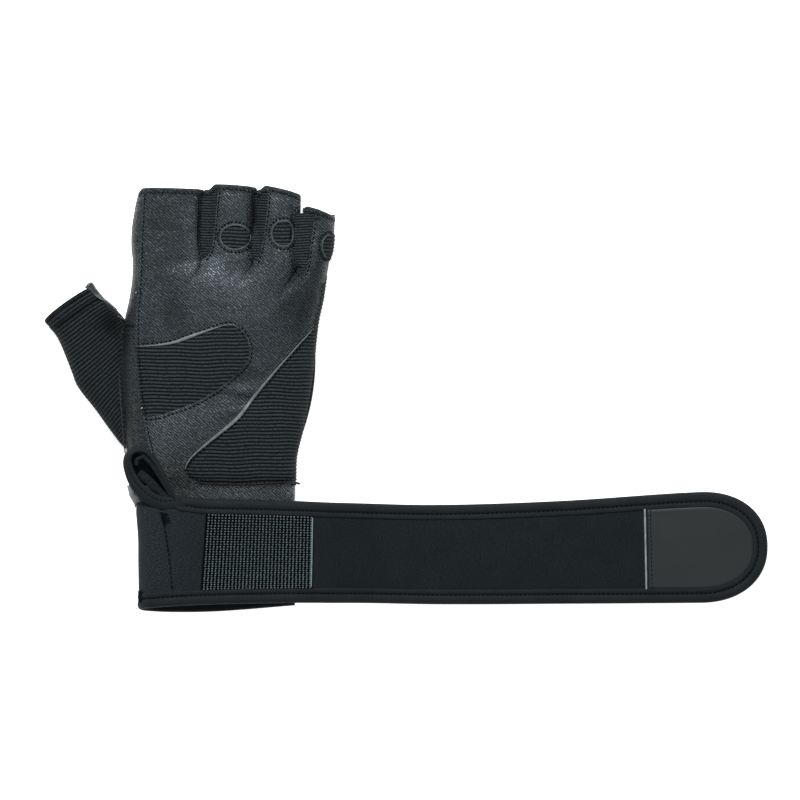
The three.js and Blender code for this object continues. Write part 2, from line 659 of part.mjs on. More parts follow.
function handRows(inset, stations) {
  return stations.map((y) =>
    handPlaces(y, inset).map((x) => pairAt(x, y, backHeight(x, y, inset), palmHeight(x, y, inset))),
  );
}

function wristStations() {
  const steps = Array.from({ length: WRIST_STEPS + 1 }, (_, i) => i / WRIST_STEPS);
  const shoulder = steps.map((share) => shoulderStart + share * SHOULDER);
  const rise = [0, 0.5, 1].map((share) => heightStart + share * BLEND * BODY_LENGTH);
  return [...shoulder, ...rise].sort((a, b) => a - b);
}

// The whole hand without the thumb, as one solid body.
function handBody(inset, stations = BACK_STATIONS) {
  return skinBody(handRows(inset, [0, ...wristStations(), ...stations.map(stationY)]));
}

// The hollow of the hand up to the webs.
function handHollow() {
  const body = HOLLOW_STATIONS.map(stationY);
  return skinBody(handRows(LEATHER, [-MOUTH * BODY_LENGTH, ...wristStations(), ...body]));
}

const PART_FROM = 1.5; // stations between which two fingers part at their tips
const PART_TO = 1.95;
const SLIT_STATIONS = [1.3, PART_FROM, 1.75, PART_TO, 2.3];

// Half the width of the free space between two fingers.
function slitHalf(web, y) {
  return SLIT / 2 + web.spread * HAND_WIDTH * smoothStep(stationY(PART_FROM), stationY(PART_TO), y);
}

const FINGER_HOLLOW_STATIONS = [0.9, 0.96, 1.06, 1.25, 1.5, 2.2];
const PINCH = 0.2; // that a finger's hollow stays inside the hand's where they meet
const FINGER_ROUND = 0.28; // rounding of a finger's hollow, share of HAND_HEIGHT

function fingerHollow(finger) {
  const wall = LEATHER + PINCH;
  const edgeAt = (column, y, towards) => {
    const web = WEBS.find((each) => each.line === column);
    return handEdge(column, y) + towards * (wall + (web ? slitHalf(web, y) : 0));
  };
  const rows = FINGER_HOLLOW_STATIONS.map((v) => {
    const y = stationY(v);
    const from = edgeAt(finger.from, y, 1);
    const to = edgeAt(finger.to, y, -1);
    const round = Math.min((to - from) / 2, FINGER_ROUND * HAND_HEIGHT);
    return placesAcross(from, to, round, round, GROOVE_TURNS, GROOVE_TURNS).map((x) => {
      const shape = rounding(x - from, round) * rounding(to - x, round);
      const seam = seamHeight(y);
      const top = Math.min(backHeight(x, y, wall), seam + (handSize("top", y) - wall) * shape);
      const bottom = Math.max(palmHeight(x, y, wall), seam - (seam - floorAt(y) - wall) * shape);
      return pairAt(x, y, top, bottom);
    });
  });
  return skinBody(rows);
}

// Cutters for the free spaces between the fingers.
function slits() {
  return WEBS.map((web) => {
    const start = stationY(web.web) + SLIT_START * FINGER_LENGTH;
    const stations = [start, ...SLIT_STATIONS.map(stationY)];
    const side = (sign) =>
      stations.map((y) => new THREE.Vector2(handEdge(web.line, y) + sign * slitHalf(web, y), y));
    return upright([...side(1), ...side(-1).reverse()]);
  });
}

const SIDE_REACH = 5; // that a finger's outline runs out past the hand's sides

// Plan outline of a finger between its hem's edge, moved back by a distance, and past its tip, running
// aside over the lines between the fingers by a distance.
function fingerPlan(finger, back, past, aside) {
  const hemY = (share) => BODY_LENGTH + share * FINGER_LENGTH - back;
  const corner = (column, share, sign) => {
    const outer = column === "left" || column === "right";
    const x = handEdge(column, hemY(share)) + sign * (outer ? SIDE_REACH : aside);
    return new THREE.Vector2(x, hemY(share));
  };
  const from = corner(finger.from, finger.endFrom, -1);
  const to = corner(finger.to, finger.endTo, 1);
  const fan = aside > 0 ? SIDE_REACH : 0;
  return [
    from,
    to,
    new THREE.Vector2(to.x + fan, to.y + past),
    new THREE.Vector2(from.x - fan, from.y + past),
  ];
}

// Thumb
const thumbTurn = radians(THUMB_BASE.turn);
const thumbDirection = new THREE.Vector2(Math.cos(thumbTurn), Math.sin(thumbTurn));
const thumbSide = new THREE.Vector2(thumbDirection.y, -thumbDirection.x);
const thumbZ = THUMB_MIDDLE * THUMB_HEIGHT;

// A plan point on the thumb, along and across it in millimetres.
function thumbPoint(along, across) {
  return planPoint(THUMB_BASE).addScaledVector(thumbDirection, along).addScaledVector(thumbSide, across);
}

const THUMB_TURNS = [0, 30, 90];

function thumbBody(inset) {
  const rows = THUMB.map((row) => {
    const low = row.low * THUMB_WIDTH + inset;
    const high = row.high * THUMB_WIDTH - inset;
    const half = row.half * THUMB_HEIGHT - inset;
    const round = Math.min(THUMB_ROUND * THUMB_HEIGHT - inset, (FILL * (high - low)) / 2);
    return placesAcross(low, high, round, round, THUMB_TURNS, THUMB_TURNS).map((side) => {
      const p = thumbPoint(row.at * THUMB_LENGTH, side);
      const lift = half * rounding(side - low, round) * rounding(high - side, round);
      return pairAt(p.x, p.y, thumbZ + lift, thumbZ - lift);
    });
  });
  return skinBody(rows);
}

const THUMB_MOUTH = 0.7; // half width of its hem's outline, share of THUMB_WIDTH

// Plan outline across the thumb from its hem's edge, moved back by a distance, to past its tip.
function thumbPlan(back, past) {
  const shares = [-1, -0.6, -0.2, 0.2, 0.6, 1];
  const tip = THUMB.at(-1);
  const middle = (tip.low + tip.high) / 2;
  const edge = (extra) =>
    shares.map((share) => {
      const along = THUMB_LENGTH * (1 - THUMB_BULGE * share * share) - back + extra;
      return thumbPoint(along, (middle + share * THUMB_MOUTH) * THUMB_WIDTH);
    });
  return [...edge(0), ...edge(past).reverse()];
}

// Upper half of everything over the hand's or the thumb's side seams.
function handHalf(sign) {
  const reach = CUTTER_REACH / 2;
  const wide = 2 * HAND_WIDTH;
  const rows = [-reach, shoulderStart, heightStart, heightStart + BLEND * BODY_LENGTH, reach * 2].map((y) => {
    const seam = seamHeight(y) + (sign * GAP) / 2;
    return [-wide, wide].map((x) => pairAt(x, y, Math.max(seam, sign * reach), Math.min(seam, sign * reach)));
  });
  return skinBody(rows);
}

// Hand's and thumb's pieces
function handPieces() {
  const hollow = unite([handHollow(), ...FINGERS.map(fingerHollow)]);
  const thumbHollow = thumbBody(LEATHER);
  const inside = hollow.add(thumbHollow);
  const clefts = slits();
  const past = 2 * FINGER_LENGTH;
  const tips = FINGERS.map((finger) => upright(fingerPlan(finger, HEM_WIDTH + GAP, past, SLIT / 2)));

  const shell = (body, half) => cutAway(body, [inside, ...clefts, ...tips]).intersect(handHalf(half));
  const back = shell(handBody(0), 1);
  const palm = shell(handBody(0, PALM_STATIONS), -1);
  const knitBack = shell(handBody(LEATHER - KNIT), 1);

  const seam = SIDE_SEAM.map(planPoint);
  const outerX = -HAND_WIDTH;
  const cross = stationY(CROSS_SEAM);
  const seamX = planPoint(SIDE_SEAM[4]).x;
  const upper = seam.filter((p) => p.y > cross);
  const lower = seam.filter((p) => p.y < cross);
  const strip = [
    new THREE.Vector2(outerX, upper[0].y),
    new THREE.Vector2(outerX, cross + GAP / 2),
    new THREE.Vector2(seamX, cross + GAP / 2),
    ...upper.reverse(),
  ];
  const gusset = [
    new THREE.Vector2(outerX, cross - GAP / 2),
    new THREE.Vector2(outerX, lower.at(-1).y),
    ...lower.reverse(),
    new THREE.Vector2(seamX, cross - GAP / 2),
  ];
  const window = (knuckle) =>
    Array.from({ length: KNUCKLE_SIDES }, (_, i) => {
      const angle = (i / KNUCKLE_SIDES) * 2 * Math.PI;
      const middle = planPoint(knuckle);
      middle.x += knuckle.wide * KNUCKLE_WINDOW * Math.cos(angle);
      middle.y += knuckle.high * KNUCKLE_WINDOW * Math.sin(angle);
      return middle;
    });
  const panels = [
    { name: "index_side_strip", outline: strip, shell: back, look: LEATHER_LOOK },
    { name: "thumb_gusset", outline: gusset, shell: back, look: LEATHER_LOOK },
    ...FOURCHETTES.map((each) => ({
      name: `fourchette_${each.name}`, outline: each.outline.map(planPoint), shell: knitBack, look: KNIT_LOOK,
    })),
    ...KNUCKLES.map((each) => ({
      name: `knuckle_insert_${each.name}`, outline: window(each), shell: knitBack, look: KNIT_LOOK,
    })),
    { name: "back_insert", outline: BACK_INSERT.map(planPoint), shell: knitBack, look: KNIT_LOOK },
    { name: "ulnar_insert", outline: ULNAR_INSERT.map(planPoint), shell: knitBack, look: KNIT_LOOK },
  ];
  const taken = [];
  const pieces = panels.map(({ name, outline, shell, look }) => {
    const solid = cutAway(shell.intersect(upright(outline)), taken);
    taken.push(upright(grown(outline, GAP)));
    return toMesh(name, solid, look);
  });
  pieces.push(toMesh("back_leather", cutAway(back, taken), LEATHER_LOOK));
  pieces.push(toMesh("palm_leather", palm, LEATHER_LOOK));

  const proud = handBody(-HEM_PROUD);
  FINGERS.forEach((finger) => {
    const ring = proud.intersect(upright(fingerPlan(finger, HEM_WIDTH, HEM_WIDTH, 0)));
    pieces.push(toMesh(`hem_${finger.name}`, cutAway(ring, [inside, ...clefts]), LEATHER_LOOK));
  });
  return [...pieces, ...thumbPieces(thumbHollow)];
}

function thumbPieces(hollow) {
  const tip = upright(thumbPlan(HEM_WIDTH + GAP, THUMB_LENGTH));
  const cut = [handBody(-GAP), handBody(-GAP, PALM_STATIONS), hollow, tip];
  const leather = cutAway(thumbBody(0), cut);
  const knit = cutAway(thumbBody(LEATHER - KNIT), cut);
  const reach = 2 * THUMB_LENGTH;
  const square = [
    new THREE.Vector2(-reach, 0),
    new THREE.Vector2(reach, 0),
    new THREE.Vector2(reach, 2 * reach),
    new THREE.Vector2(-reach, 2 * reach),
  ];
  const lower = upright(square, -reach, thumbZ - GAP / 2);
  const upper = upright(square, thumbZ + GAP / 2, reach);
  const inner = THUMB.map((row) => thumbPoint(row.at * THUMB_LENGTH, (row.high - THUMB_WRAP) * THUMB_WIDTH));
  const beyond = THUMB.map((row) => thumbPoint(row.at * THUMB_LENGTH, THUMB_WIDTH));
  const wrap = [...inner, ...beyond.reverse()];
  const under = leather.intersect(lower.add(upright(wrap)));
  const over = cutAway(knit.intersect(upper), [upright(grown(wrap, GAP))]);
  const hem = cutAway(thumbBody(-HEM_PROUD).intersect(upright(thumbPlan(HEM_WIDTH, HEM_WIDTH))), [hollow]);
  return [
    toMesh("thumb_back", over, KNIT_LOOK),
    toMesh("thumb_palm", under, LEATHER_LOOK),
    toMesh("thumb_hem", hem, LEATHER_LOOK),
  ];
}

// The strap's bound edge, folded into a standing loop on the hand beside the strap.
function pleatRibbon(route, extra = 0) {
  const points = route.map((p) => new THREE.Vector2(foldX + p.x * STRAP_WIDTH, p.y * STRAP_WIDTH));
  const curve = new THREE.SplineCurve(points);
  const half = PLEAT_THICKNESS / 2 + extra;
  const strapTopZ = foldZ + foldRadius + strapStack / 2;
  const row = (side) =>
    Array.from({ length: PLEAT_STEPS + 1 }, (_, i) => {
      const middle = curve.getPoint(i / PLEAT_STEPS);
      const ahead = curve.getTangent(i / PLEAT_STEPS);
      const [x, y] = [middle.x - side * half * ahead.y, middle.y + side * half * ahead.x];
      const base = backHeight(middle.x, middle.y);
      return pairAt(x, y, Math.max(strapTopZ, base + PLEAT_THICKNESS) + extra, base - extra);
    });
  return skinBody([row(-1), row(1)]);
}

function pleatPieces() {
  const half = strapStack / 2 + GAP;
  const clear = [handBody(-GAP), strapSlab({ inset: -GAP, low: -half, high: half, from: 0 })];
  const outer = cutAway(pleatRibbon(PLEAT_OUTER), clear);
  const inner = cutAway(pleatRibbon(PLEAT_INNER), [...clear, pleatRibbon(PLEAT_OUTER, GAP)]);
  return [toMesh("pleat_outer", outer, BINDING_LOOK), toMesh("pleat_inner", inner, BINDING_LOOK)];
}

// The glove stands on its lowest point, with its own middle over the origin.
const glove = new THREE.Group();
glove.add(...handPieces(), ...strapPieces(), ...pleatPieces());
const box = new THREE.Box3().setFromObject(glove, true);
const middle = box.getCenter(new THREE.Vector3());
glove.position.set(-middle.x, -middle.y, -box.min.z);
glove.updateMatrixWorld(true);

export default glove;
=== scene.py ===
import math
from functools import partial

import bmesh
import bpy
import numpy as np
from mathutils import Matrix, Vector
from mathutils.geometry import delaunay_2d_cdt


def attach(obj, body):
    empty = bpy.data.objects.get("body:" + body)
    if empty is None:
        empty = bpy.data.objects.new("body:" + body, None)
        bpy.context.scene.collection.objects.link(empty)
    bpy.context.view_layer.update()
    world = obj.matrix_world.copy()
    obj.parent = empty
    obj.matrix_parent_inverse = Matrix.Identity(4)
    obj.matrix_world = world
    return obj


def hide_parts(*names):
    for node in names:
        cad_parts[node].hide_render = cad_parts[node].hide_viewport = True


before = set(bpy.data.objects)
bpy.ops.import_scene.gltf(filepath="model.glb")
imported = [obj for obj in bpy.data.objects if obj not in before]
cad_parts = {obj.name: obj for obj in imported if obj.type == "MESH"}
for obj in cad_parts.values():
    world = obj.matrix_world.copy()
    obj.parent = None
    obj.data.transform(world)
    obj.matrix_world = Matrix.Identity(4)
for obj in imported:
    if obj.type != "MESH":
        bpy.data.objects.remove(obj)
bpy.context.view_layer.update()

# From the glove's own zero to the part's origin, and from millimetres to metres
SHIFT = np.array([-98.254, -114.886, 0.0])
MM = 0.001

# The glove's own zero in the picture, and millimetres to one of its pixels
PICTURE_ZERO = (232, 603)
PICTURE_SCALE = 0.56

# Sizes of the hand part, as in its solids
HAND_WIDTH = 111
BODY_LENGTH = 192
FINGER_LENGTH = 42
HAND_HEIGHT = 26
WRIST_WIDTH = 83
WRIST_HEIGHT = 15
SHOULDER = 3.4
THUMB_LENGTH = 59
THUMB_WIDTH = 32
THUMB_HEIGHT = 20
HEM_WIDTH = 3.4
HEM_PROUD = 0.4
KNUCKLE_WINDOW = 18
GAP = 0.3

# Sizes of the strap, as in its solids
STRAP_LENGTH = 450
STRAP_WIDTH = 60
NEOPRENE_EDGE = 1.2
TAPE = 0.8
TIP_REACH = 38
SETTLE = 62
TAB_LENGTH = 68

# Sections of the hand: station, left edge, lines between the fingers, right edge, roundings of the
# two long sides and rise of the back
SECTION_COLUMNS = ["v", "left", "one", "two", "three", "right", "thumb", "little", "top"]
SECTIONS = np.array([
    [0.3, -0.505, -0.262, -0.061, 0.131, 0.318, 0.3, 0.3, 0.33],
    [0.36, -0.522, -0.272, -0.066, 0.131, 0.321, 0.34, 0.33, 0.4],
    [0.43, -0.53, -0.283, -0.066, 0.131, 0.326, 0.4, 0.38, 0.46],
    [0.505, -0.547, -0.293, -0.066, 0.141, 0.357, 0.45, 0.42, 0.5],
    [0.592, -0.56, -0.303, -0.066, 0.166, 0.388, 0.48, 0.46, 0.52],
    [0.68, -0.565, -0.303, -0.061, 0.182, 0.41, 0.48, 0.48, 0.535],
    [0.767, -0.557, -0.293, -0.05, 0.192, 0.424, 0.46, 0.5, 0.54],
    [0.825, -0.54, -0.277, -0.03, 0.212, 0.437, 0.44, 0.5, 0.54],
    [0.884, -0.517, -0.242, 0.0, 0.242, 0.459, 0.42, 0.5, 0.535],
    [0.942, -0.502, -0.192, 0.061, 0.303, 0.474, 0.4, 0.5, 0.525],
    [1.0, -0.499, -0.143, 0.116, 0.35, 0.49, 0.38, 0.5, 0.505],
    [1.14, -0.505, -0.144, 0.114, 0.343, 0.507, 0.36, 0.5, 0.48],
    [1.38, -0.505, -0.144, 0.114, 0.338, 0.515, 0.36, 0.48, 0.445],
    [1.59, -0.494, -0.141, 0.116, 0.348, 0.52, 0.36, 0.45, 0.43],
    [1.8, -0.479, -0.139, 0.121, 0.358, 0.525, 0.36, 0.42, 0.415],
    [1.98, -0.459, -0.136, 0.131, 0.363, 0.525, 0.36, 0.4, 0.405],
    [2.1, -0.454, -0.134, 0.136, 0.368, 0.525, 0.36, 0.4, 0.4],
])
SLEEVE = {"left": -0.5, "one": -0.25, "two": 0, "three": 0.25, "right": 0.5}
SLEEVE_SHIFT = 0.035
SEAM_SHARE = 0.455
BLEND = 0.065
PALM_ROUND = 0.09
PALM_POWER = 3
WEBS = [
    {"line": "one", "web": 1.0, "before": 0.034, "after": 0.125, "spread": 0},
    {"line": "two", "web": 1.0, "before": 0.05, "after": 0.125, "spread": 0},
    {"line": "three", "web": 0.955, "before": 0.06, "after": 0.115, "spread": 0.012},
]
GROOVE_START = 0.09
GROOVE_END = 0.5
SLIT_START = 0.14
GROOVE_REST = 0.04
HEM_RAISED = 1.5
PART_FROM = 1.5
PART_TO = 1.95
FINGERS = [
    {"name": "index", "from": "left", "to": "one", "end_from": 0.95, "end_to": 0.93},
    {"name": "middle", "from": "one", "to": "two", "end_from": 1.0, "end_to": 0.96},
    {"name": "ring", "from": "two", "to": "three", "end_from": 1.0, "end_to": 0.87},
    {"name": "little", "from": "three", "to": "right", "end_from": 0.72, "end_to": 0.58},
]
THUMB_COLUMNS = ["at", "low", "high", "half"]
THUMB = np.array([
    [-0.57, -0.46, 0.04, 0.22],
    [-0.45, -0.58, 0.16, 0.36],
    [-0.26, -0.61, 0.38, 0.46],
    [0.0, -0.616, 0.6, 0.49],
    [0.29, -0.64, 0.68, 0.5],
    [0.43, -0.58, 0.69, 0.5],
    [0.57, -0.515, 0.705, 0.495],
    [0.75, -0.445, 0.662, 0.49],
    [0.845, -0.44, 0.618, 0.485],
    [1.12, -0.465, 0.593, 0.48],
])
THUMB_BASE = {"x": -0.54, "v": 0.62, "turn": 125}
THUMB_MIDDLE = 0.53
THUMB_ROUND = 0.46
DENTS = [
    {"x": -0.215, "v": 0.985, "long": 0.11, "wide": 0.03, "turn": 4, "depth": 0.05},
    {"x": 0.075, "v": 0.975, "long": 0.07, "wide": 0.04, "turn": 25, "depth": 0.035},
    {"x": -0.26, "v": 0.86, "long": 0.16, "wide": 0.05, "turn": 80, "depth": 0.038},
    {"x": 0.06, "v": 0.585, "long": 0.1, "wide": 0.024, "turn": 8, "depth": 0.042},
    {"x": -0.05, "v": 0.925, "long": 0.12, "wide": 0.06, "turn": -35, "depth": -0.042},
    {"x": 0.3, "v": 0.86, "long": 0.16, "wide": 0.05, "turn": 62, "depth": 0.027},
]
# Seams and panels in plan: share of HAND_WIDTH and station
SIDE_SEAM = [
    (-0.439, 2.2), (-0.449, 1.8), (-0.459, 1.14), (-0.466, 0.93), (-0.479, 0.79), (-0.464, 0.65),
    (-0.449, 0.572), (-0.422, 0.48), (-0.404, 0.43), (-0.404, 0.325),
]
CROSS_SEAM = 0.8
BACK_INSERT_TOP = [
    (-0.56, 0.742), (-0.43, 0.746), (-0.298, 0.755), (-0.161, 0.782), (-0.03, 0.806), (0.018, 0.805),
    (0.068, 0.779), (0.091, 0.742), (0.079, 0.703), (0.017, 0.664), (-0.073, 0.621), (-0.187, 0.583),
    (-0.298, 0.56), (-0.388, 0.545), (-0.56, 0.545),
]
ULNAR_DIAGONAL = [
    (0.6, 0.945), (0.474, 0.9246), (0.454, 0.866), (0.424, 0.814), (0.319, 0.742), (0.219, 0.677), (0.106, 0.598),
    (0.028, 0.54), (-0.118, 0.47), (-0.197, 0.43), (-0.228, 0.404), (-0.231, 0.384), (-0.203, 0.362),
    (-0.141, 0.35), (0.05, 0.346), (0.28, 0.352), (0.6, 0.357),
]
FOURCHETTES = [
    {
        "name": "index_middle", "web": 0, "before": 0, "after": 1, "open": 240,
        "left": [(-0.147, 2.15), (-0.149, 1.7), (-0.153, 1.23), (-0.137, 1.0)],
        "right": [(-0.137, 1.0), (-0.103, 1.14), (-0.084, 1.51), (-0.063, 2.15)],
    },
    {
        "name": "middle_ring", "web": 1, "before": 1, "after": 2, "open": 240,
        "left": [(0.117, 2.15), (0.115, 1.51), (0.099, 1.12), (0.123, 0.99)],
        "right": [(0.123, 0.99), (0.147, 1.14), (0.166, 1.42), (0.195, 2.15)],
    },
    {
        "name": "ring_little", "web": 2, "before": 2, "after": 3, "open": 219.3,
        "left": [(0.348, 2.15), (0.348, 1.7), (0.323, 1.59), (0.31, 1.27), (0.313, 1.07), (0.328, 0.978),
                 (0.358, 0.952)],
        "right": [(0.358, 0.952), (0.379, 0.98), (0.386, 1.04), (0.404, 1.36), (0.46, 2.15)],
    },
]
KNUCKLES = [
    {"name": "middle", "x": 0.023, "v": 1.292, "wide": 0.455, "high": 0.36, "square": 1.0, "right": 1.0},
    {"name": "ring", "x": 0.262, "v": 1.338, "wide": 0.335, "high": 0.372, "square": 0.62, "right": 0.88},
    {"name": "little", "x": 0.498, "v": 1.168, "wide": 0.23, "high": 0.355, "square": 1.0, "right": 1.0},
]
STRAP_EDGES = np.array([
    [0, -0.03, 0.93], [0.096, -0.086, 0.925], [0.16, -0.092, 0.92], [0.19, -0.075, 0.905], [0.21, -0.05, 0.905],
    [0.235, -0.03, 0.92], [0.253, -0.02, 1.0],
    [0.293, -0.005, 0.98], [0.351, 0.005, 0.97], [0.405, 0.01, 0.958], [0.463, 0, 0.937],
    [0.583, -0.02, 0.913], [0.741, -0.016, 0.95], [0.903, -0.008, 1.03], [1, 0, 1.045],
])
TIP_POWER = 2.2

# Painted highlights and painted shade on the leather, for its sheen and for the shade in its hollows, creases and
# grooves: place in the picture, half length, half width, degrees, amount
PAINTED_LIGHT = [
    (168, 222, 42, 34, 80, -0.5),
    (176, 314, 26, 13, 105, -0.5),
    (150, 315, 45, 10, 90, -0.12),
    (303, 305, 48, 22, 62, -0.75),
    (226, 287, 42, 22, -28, 0.68),
    (203, 263, 26, 6, 4, 0.5),
    (186, 216, 20, 12, -60, 0.25),
    (238, 374, 20, 9, 35, -0.6),
    (256, 362, 10, 6, 30, 0.3),
    (236, 387, 16, 4, -4, 0.42),
    (238, 395.5, 18, 1.6, -5, -0.9),
    (236, 402, 13, 3.5, -2, 0.32),
    (256, 373, 14, 5, -10, -0.3),
    (224, 402, 24, 8, 22, 0.4),
    (172, 432, 34, 24, 20, 0.42),
    (230, 491, 70, 9, 0, 0.36),
    (296, 491, 5, 12, 90, 0.7),
    (228, 205, 12, 9, 0, 0.15),
    (276, 200, 9, 12, 0, 0.35),
    (311, 236, 22, 4.5, 100, 0.5),
    (322, 262, 26, 5, 75, -0.4),
    (199.6, 222, 36, 2.2, 90, -1.1),
    (252, 220, 30, 3.5, 90, -0.4),
    (292.5, 225, 30, 2.5, 95, -0.4),
]

# Where the leather has a warm tinge: its middle in the picture, and its reach in millimetres
WARM_PLACE = (176, 484)
WARM_REACH = 17.0

# The photograph's picture: its middle in the part's frame, what it takes in, and the camera's place
VIEW_MIDDLE = (-0.00417, -0.0012)
VIEW_SIDE = 0.448
CAMERA_HEIGHT = 2.0
FOCUS_HEIGHT = 0.01
SENSOR = 36.0


# Reading the tables
def read_table(keys, values, place):
    """A column of a table, read smoothly at any place between its rows."""
    place = np.clip(np.asarray(place, float), keys[0], keys[-1])
    i = np.clip(np.searchsorted(keys, place, side="right") - 1, 0, len(keys) - 2)
    n = np.arange(len(keys))
    before, after = np.maximum(n - 1, 0), np.minimum(n + 1, len(keys) - 1)
    slope = (values[after] - values[before]) / (keys[after] - keys[before])
    span = keys[i + 1] - keys[i]
    t = (place - keys[i]) / span
    rise = 3 * t**2 - 2 * t**3
    leave = (t**3 - 2 * t**2 + t) * slope[i] * span
    arrive = (t**3 - t**2) * slope[i + 1] * span
    return values[i] + (values[i + 1] - values[i]) * rise + leave + arrive


def mix(a, b, share):
    return a + (b - a) * share


def smooth_step(low, high, value):
    t = np.clip((np.asarray(value, float) - low) / (high - low), 0, 1)
    return t * t * (3 - 2 * t)


def rounding(distance, radius, power=2):
    t = np.clip(distance / radius, 0, 1)
    return (1 - (1 - t) ** power) ** (1 / power)


def bell(distance, width):
    return np.exp(-((distance / width) ** 2))


def metres(points):
    return (np.asarray(points, float) + SHIFT) * MM


def pixel(x, y):
    """Millimetres in the glove's own zero of a place in the picture."""
    return ((x - PICTURE_ZERO[0]) * PICTURE_SCALE, (PICTURE_ZERO[1] - y) * PICTURE_SCALE)


# The strap's line
strap_stack = NEOPRENE_EDGE + 2 * GAP + 2 * TAPE
sleeve_floor = strap_stack + GAP
section_left, section_right = (SECTIONS[0, SECTION_COLUMNS.index(c)] for c in ("left", "right"))
sleeve_middle = SLEEVE_SHIFT * HAND_WIDTH + (section_left + section_right) / 2 * HAND_WIDTH
fold_radius = WRIST_HEIGHT / 2 + GAP + strap_stack / 2
fold_x = sleeve_middle - WRIST_WIDTH / 2 + WRIST_HEIGHT / 2
fold_z = sleeve_floor + WRIST_HEIGHT / 2
over_run = WRIST_WIDTH - WRIST_HEIGHT
fold_start = WRIST_WIDTH - WRIST_HEIGHT / 2
fold_end = fold_start + math.pi * fold_radius
settle_start = fold_end + over_run
SETTLE_STEPS = 8


def settle_height(t):
    return fold_z + fold_radius - 2 * fold_radius * (t * t * (3 - 2 * t))


settle_length = sum(
    math.hypot(SETTLE / SETTLE_STEPS, settle_height((i + 1) / SETTLE_STEPS) - settle_height(i / SETTLE_STEPS))
    for i in range(SETTLE_STEPS)
)
settle_end = settle_start + settle_length


def strap_line(s):
    """Place and outward direction of the strap's middle, at places along it."""
    s = np.asarray(s, float)
    turn = np.clip((s - fold_start) / (fold_end - fold_start), 0, 1) * math.pi
    nx, nz = -np.sin(turn), -np.cos(turn)
    x, z = fold_x + fold_radius * nx, fold_z + fold_radius * nz
    x = np.where(s < fold_start, fold_x + fold_start - s, x)
    t = np.clip((s - settle_start) / settle_length, 0, 1)
    x = np.where(s > fold_end, fold_x + np.minimum(s, settle_start) - fold_end + t * SETTLE, x)
    x = np.where(s > settle_end, x + s - settle_end, x)
    z = np.where(s > fold_end, settle_height(t), z)
    slope = -12 * fold_radius * t * (1 - t) / SETTLE
    steep = np.hypot(1, slope)
    nx = np.where(s > fold_end, -slope / steep, nx)
    nz = np.where(s > fold_end, 1 / steep, nz)
    return x, z, nx, nz


def strap_point(s, w, h):
    """Points of the strap: place along it, across it and height over its middle."""
    x, z, nx, nz = strap_line(s)
    at_fold = np.clip(-nx, 0, 1) ** 2 * np.clip(np.asarray(s) < fold_end, 0, 1)
    x = x - at_fold * (0.9 + 1.5 * smooth_step(32, 54, w))
    return np.stack([x + nx * h, np.broadcast_to(w, x.shape), z + nz * h], axis=-1)


def strap_edge(side, s):
    column = {"low": 1, "high": 2}[side]
    return read_table(STRAP_EDGES[:, 0], STRAP_EDGES[:, column], np.asarray(s) / STRAP_LENGTH) * STRAP_WIDTH


# The hand's surface
def station_y(v):
    v = np.asarray(v, float)
    return np.where(v < 1, v * BODY_LENGTH, BODY_LENGTH + (v - 1) * FINGER_LENGTH)


def station_of(y):
    return np.where(y < BODY_LENGTH, y / BODY_LENGTH, 1 + (y - BODY_LENGTH) / FINGER_LENGTH)


def plan(points):
    """Table points as plan points in millimetres."""
    points = np.asarray(points, float)
    return np.stack([points[:, 0] * HAND_WIDTH, station_y(points[:, 1])], axis=1)


def strap_top(low, high):
    return float(strap_edge("high", np.linspace(low, high, 41)).max())


shoulder_start = strap_top(fold_start, fold_end) + GAP
height_start = strap_top(0, settle_start) + GAP


def height_share(y):
    return smooth_step(height_start, height_start + BLEND * BODY_LENGTH, y)


def section_value(column, y):
    values = SECTIONS[:, SECTION_COLUMNS.index(column)]
    return read_table(SECTIONS[:, 0], values, station_of(np.asarray(y, float)))


def hand_edge(column, y):
    sleeve = sleeve_middle + SLEEVE[column] * WRIST_WIDTH
    share = smooth_step(shoulder_start, shoulder_start + SHOULDER, y)
    return mix(sleeve, section_value(column, y) * HAND_WIDTH, share)


def hand_size(column, y):
    return mix(WRIST_HEIGHT / 2, section_value(column, y) * HAND_HEIGHT, height_share(y))


def seam_height(y):
    return mix(fold_z, SEAM_SHARE * HAND_HEIGHT, height_share(y))


def floor_at(y):
    raised = smooth_step(BODY_LENGTH, station_y(HEM_RAISED), y) * HEM_PROUD
    return mix(sleeve_floor, raised, height_share(y))


def grooves(x, y, palm_side):
    share = 1.0
    for web in WEBS:
        line = hand_edge(web["line"], y)
        start = station_y(web["web"] - GROOVE_START)
        depth = smooth_step(start, station_y(web["web"]) + GROOVE_END * FINGER_LENGTH, y)
        side = PALM_ROUND if palm_side else np.where(x < line, web["before"], web["after"])
        share = share * (1 - depth * (1 - rounding(np.abs(x - line), side * HAND_WIDTH)))
    return np.maximum(GROOVE_REST, share)


def turned_bell(dx, dy, long, wide, turn, bend=0.0):
    """A long smooth hump, turned by degrees, at an offset from its middle."""
    angle = math.radians(turn)
    along = (dx * math.cos(angle) + dy * math.sin(angle)) / long
    across = (dy * math.cos(angle) - dx * math.sin(angle) + bend) / wide
    return np.exp(-along * along - across * across)


def dents(x, y):
    total = 0.0
    for dent in DENTS:
        dx, dy = x - dent["x"] * HAND_WIDTH, y - station_y(dent["v"])
        shape = turned_bell(dx, dy, dent["long"] * HAND_WIDTH, dent["wide"] * HAND_WIDTH, dent["turn"])
        total = total + dent["depth"] * HAND_HEIGHT * shape
    return total


def back_height(x, y):
    left = rounding(x - hand_edge("left", y), hand_size("thumb", y))
    right = rounding(hand_edge("right", y) - x, hand_size("little", y))
    full = hand_size("top", y) - dents(x, y) * height_share(y)
    return seam_height(y) + full * left * right * grooves(x, y, False)


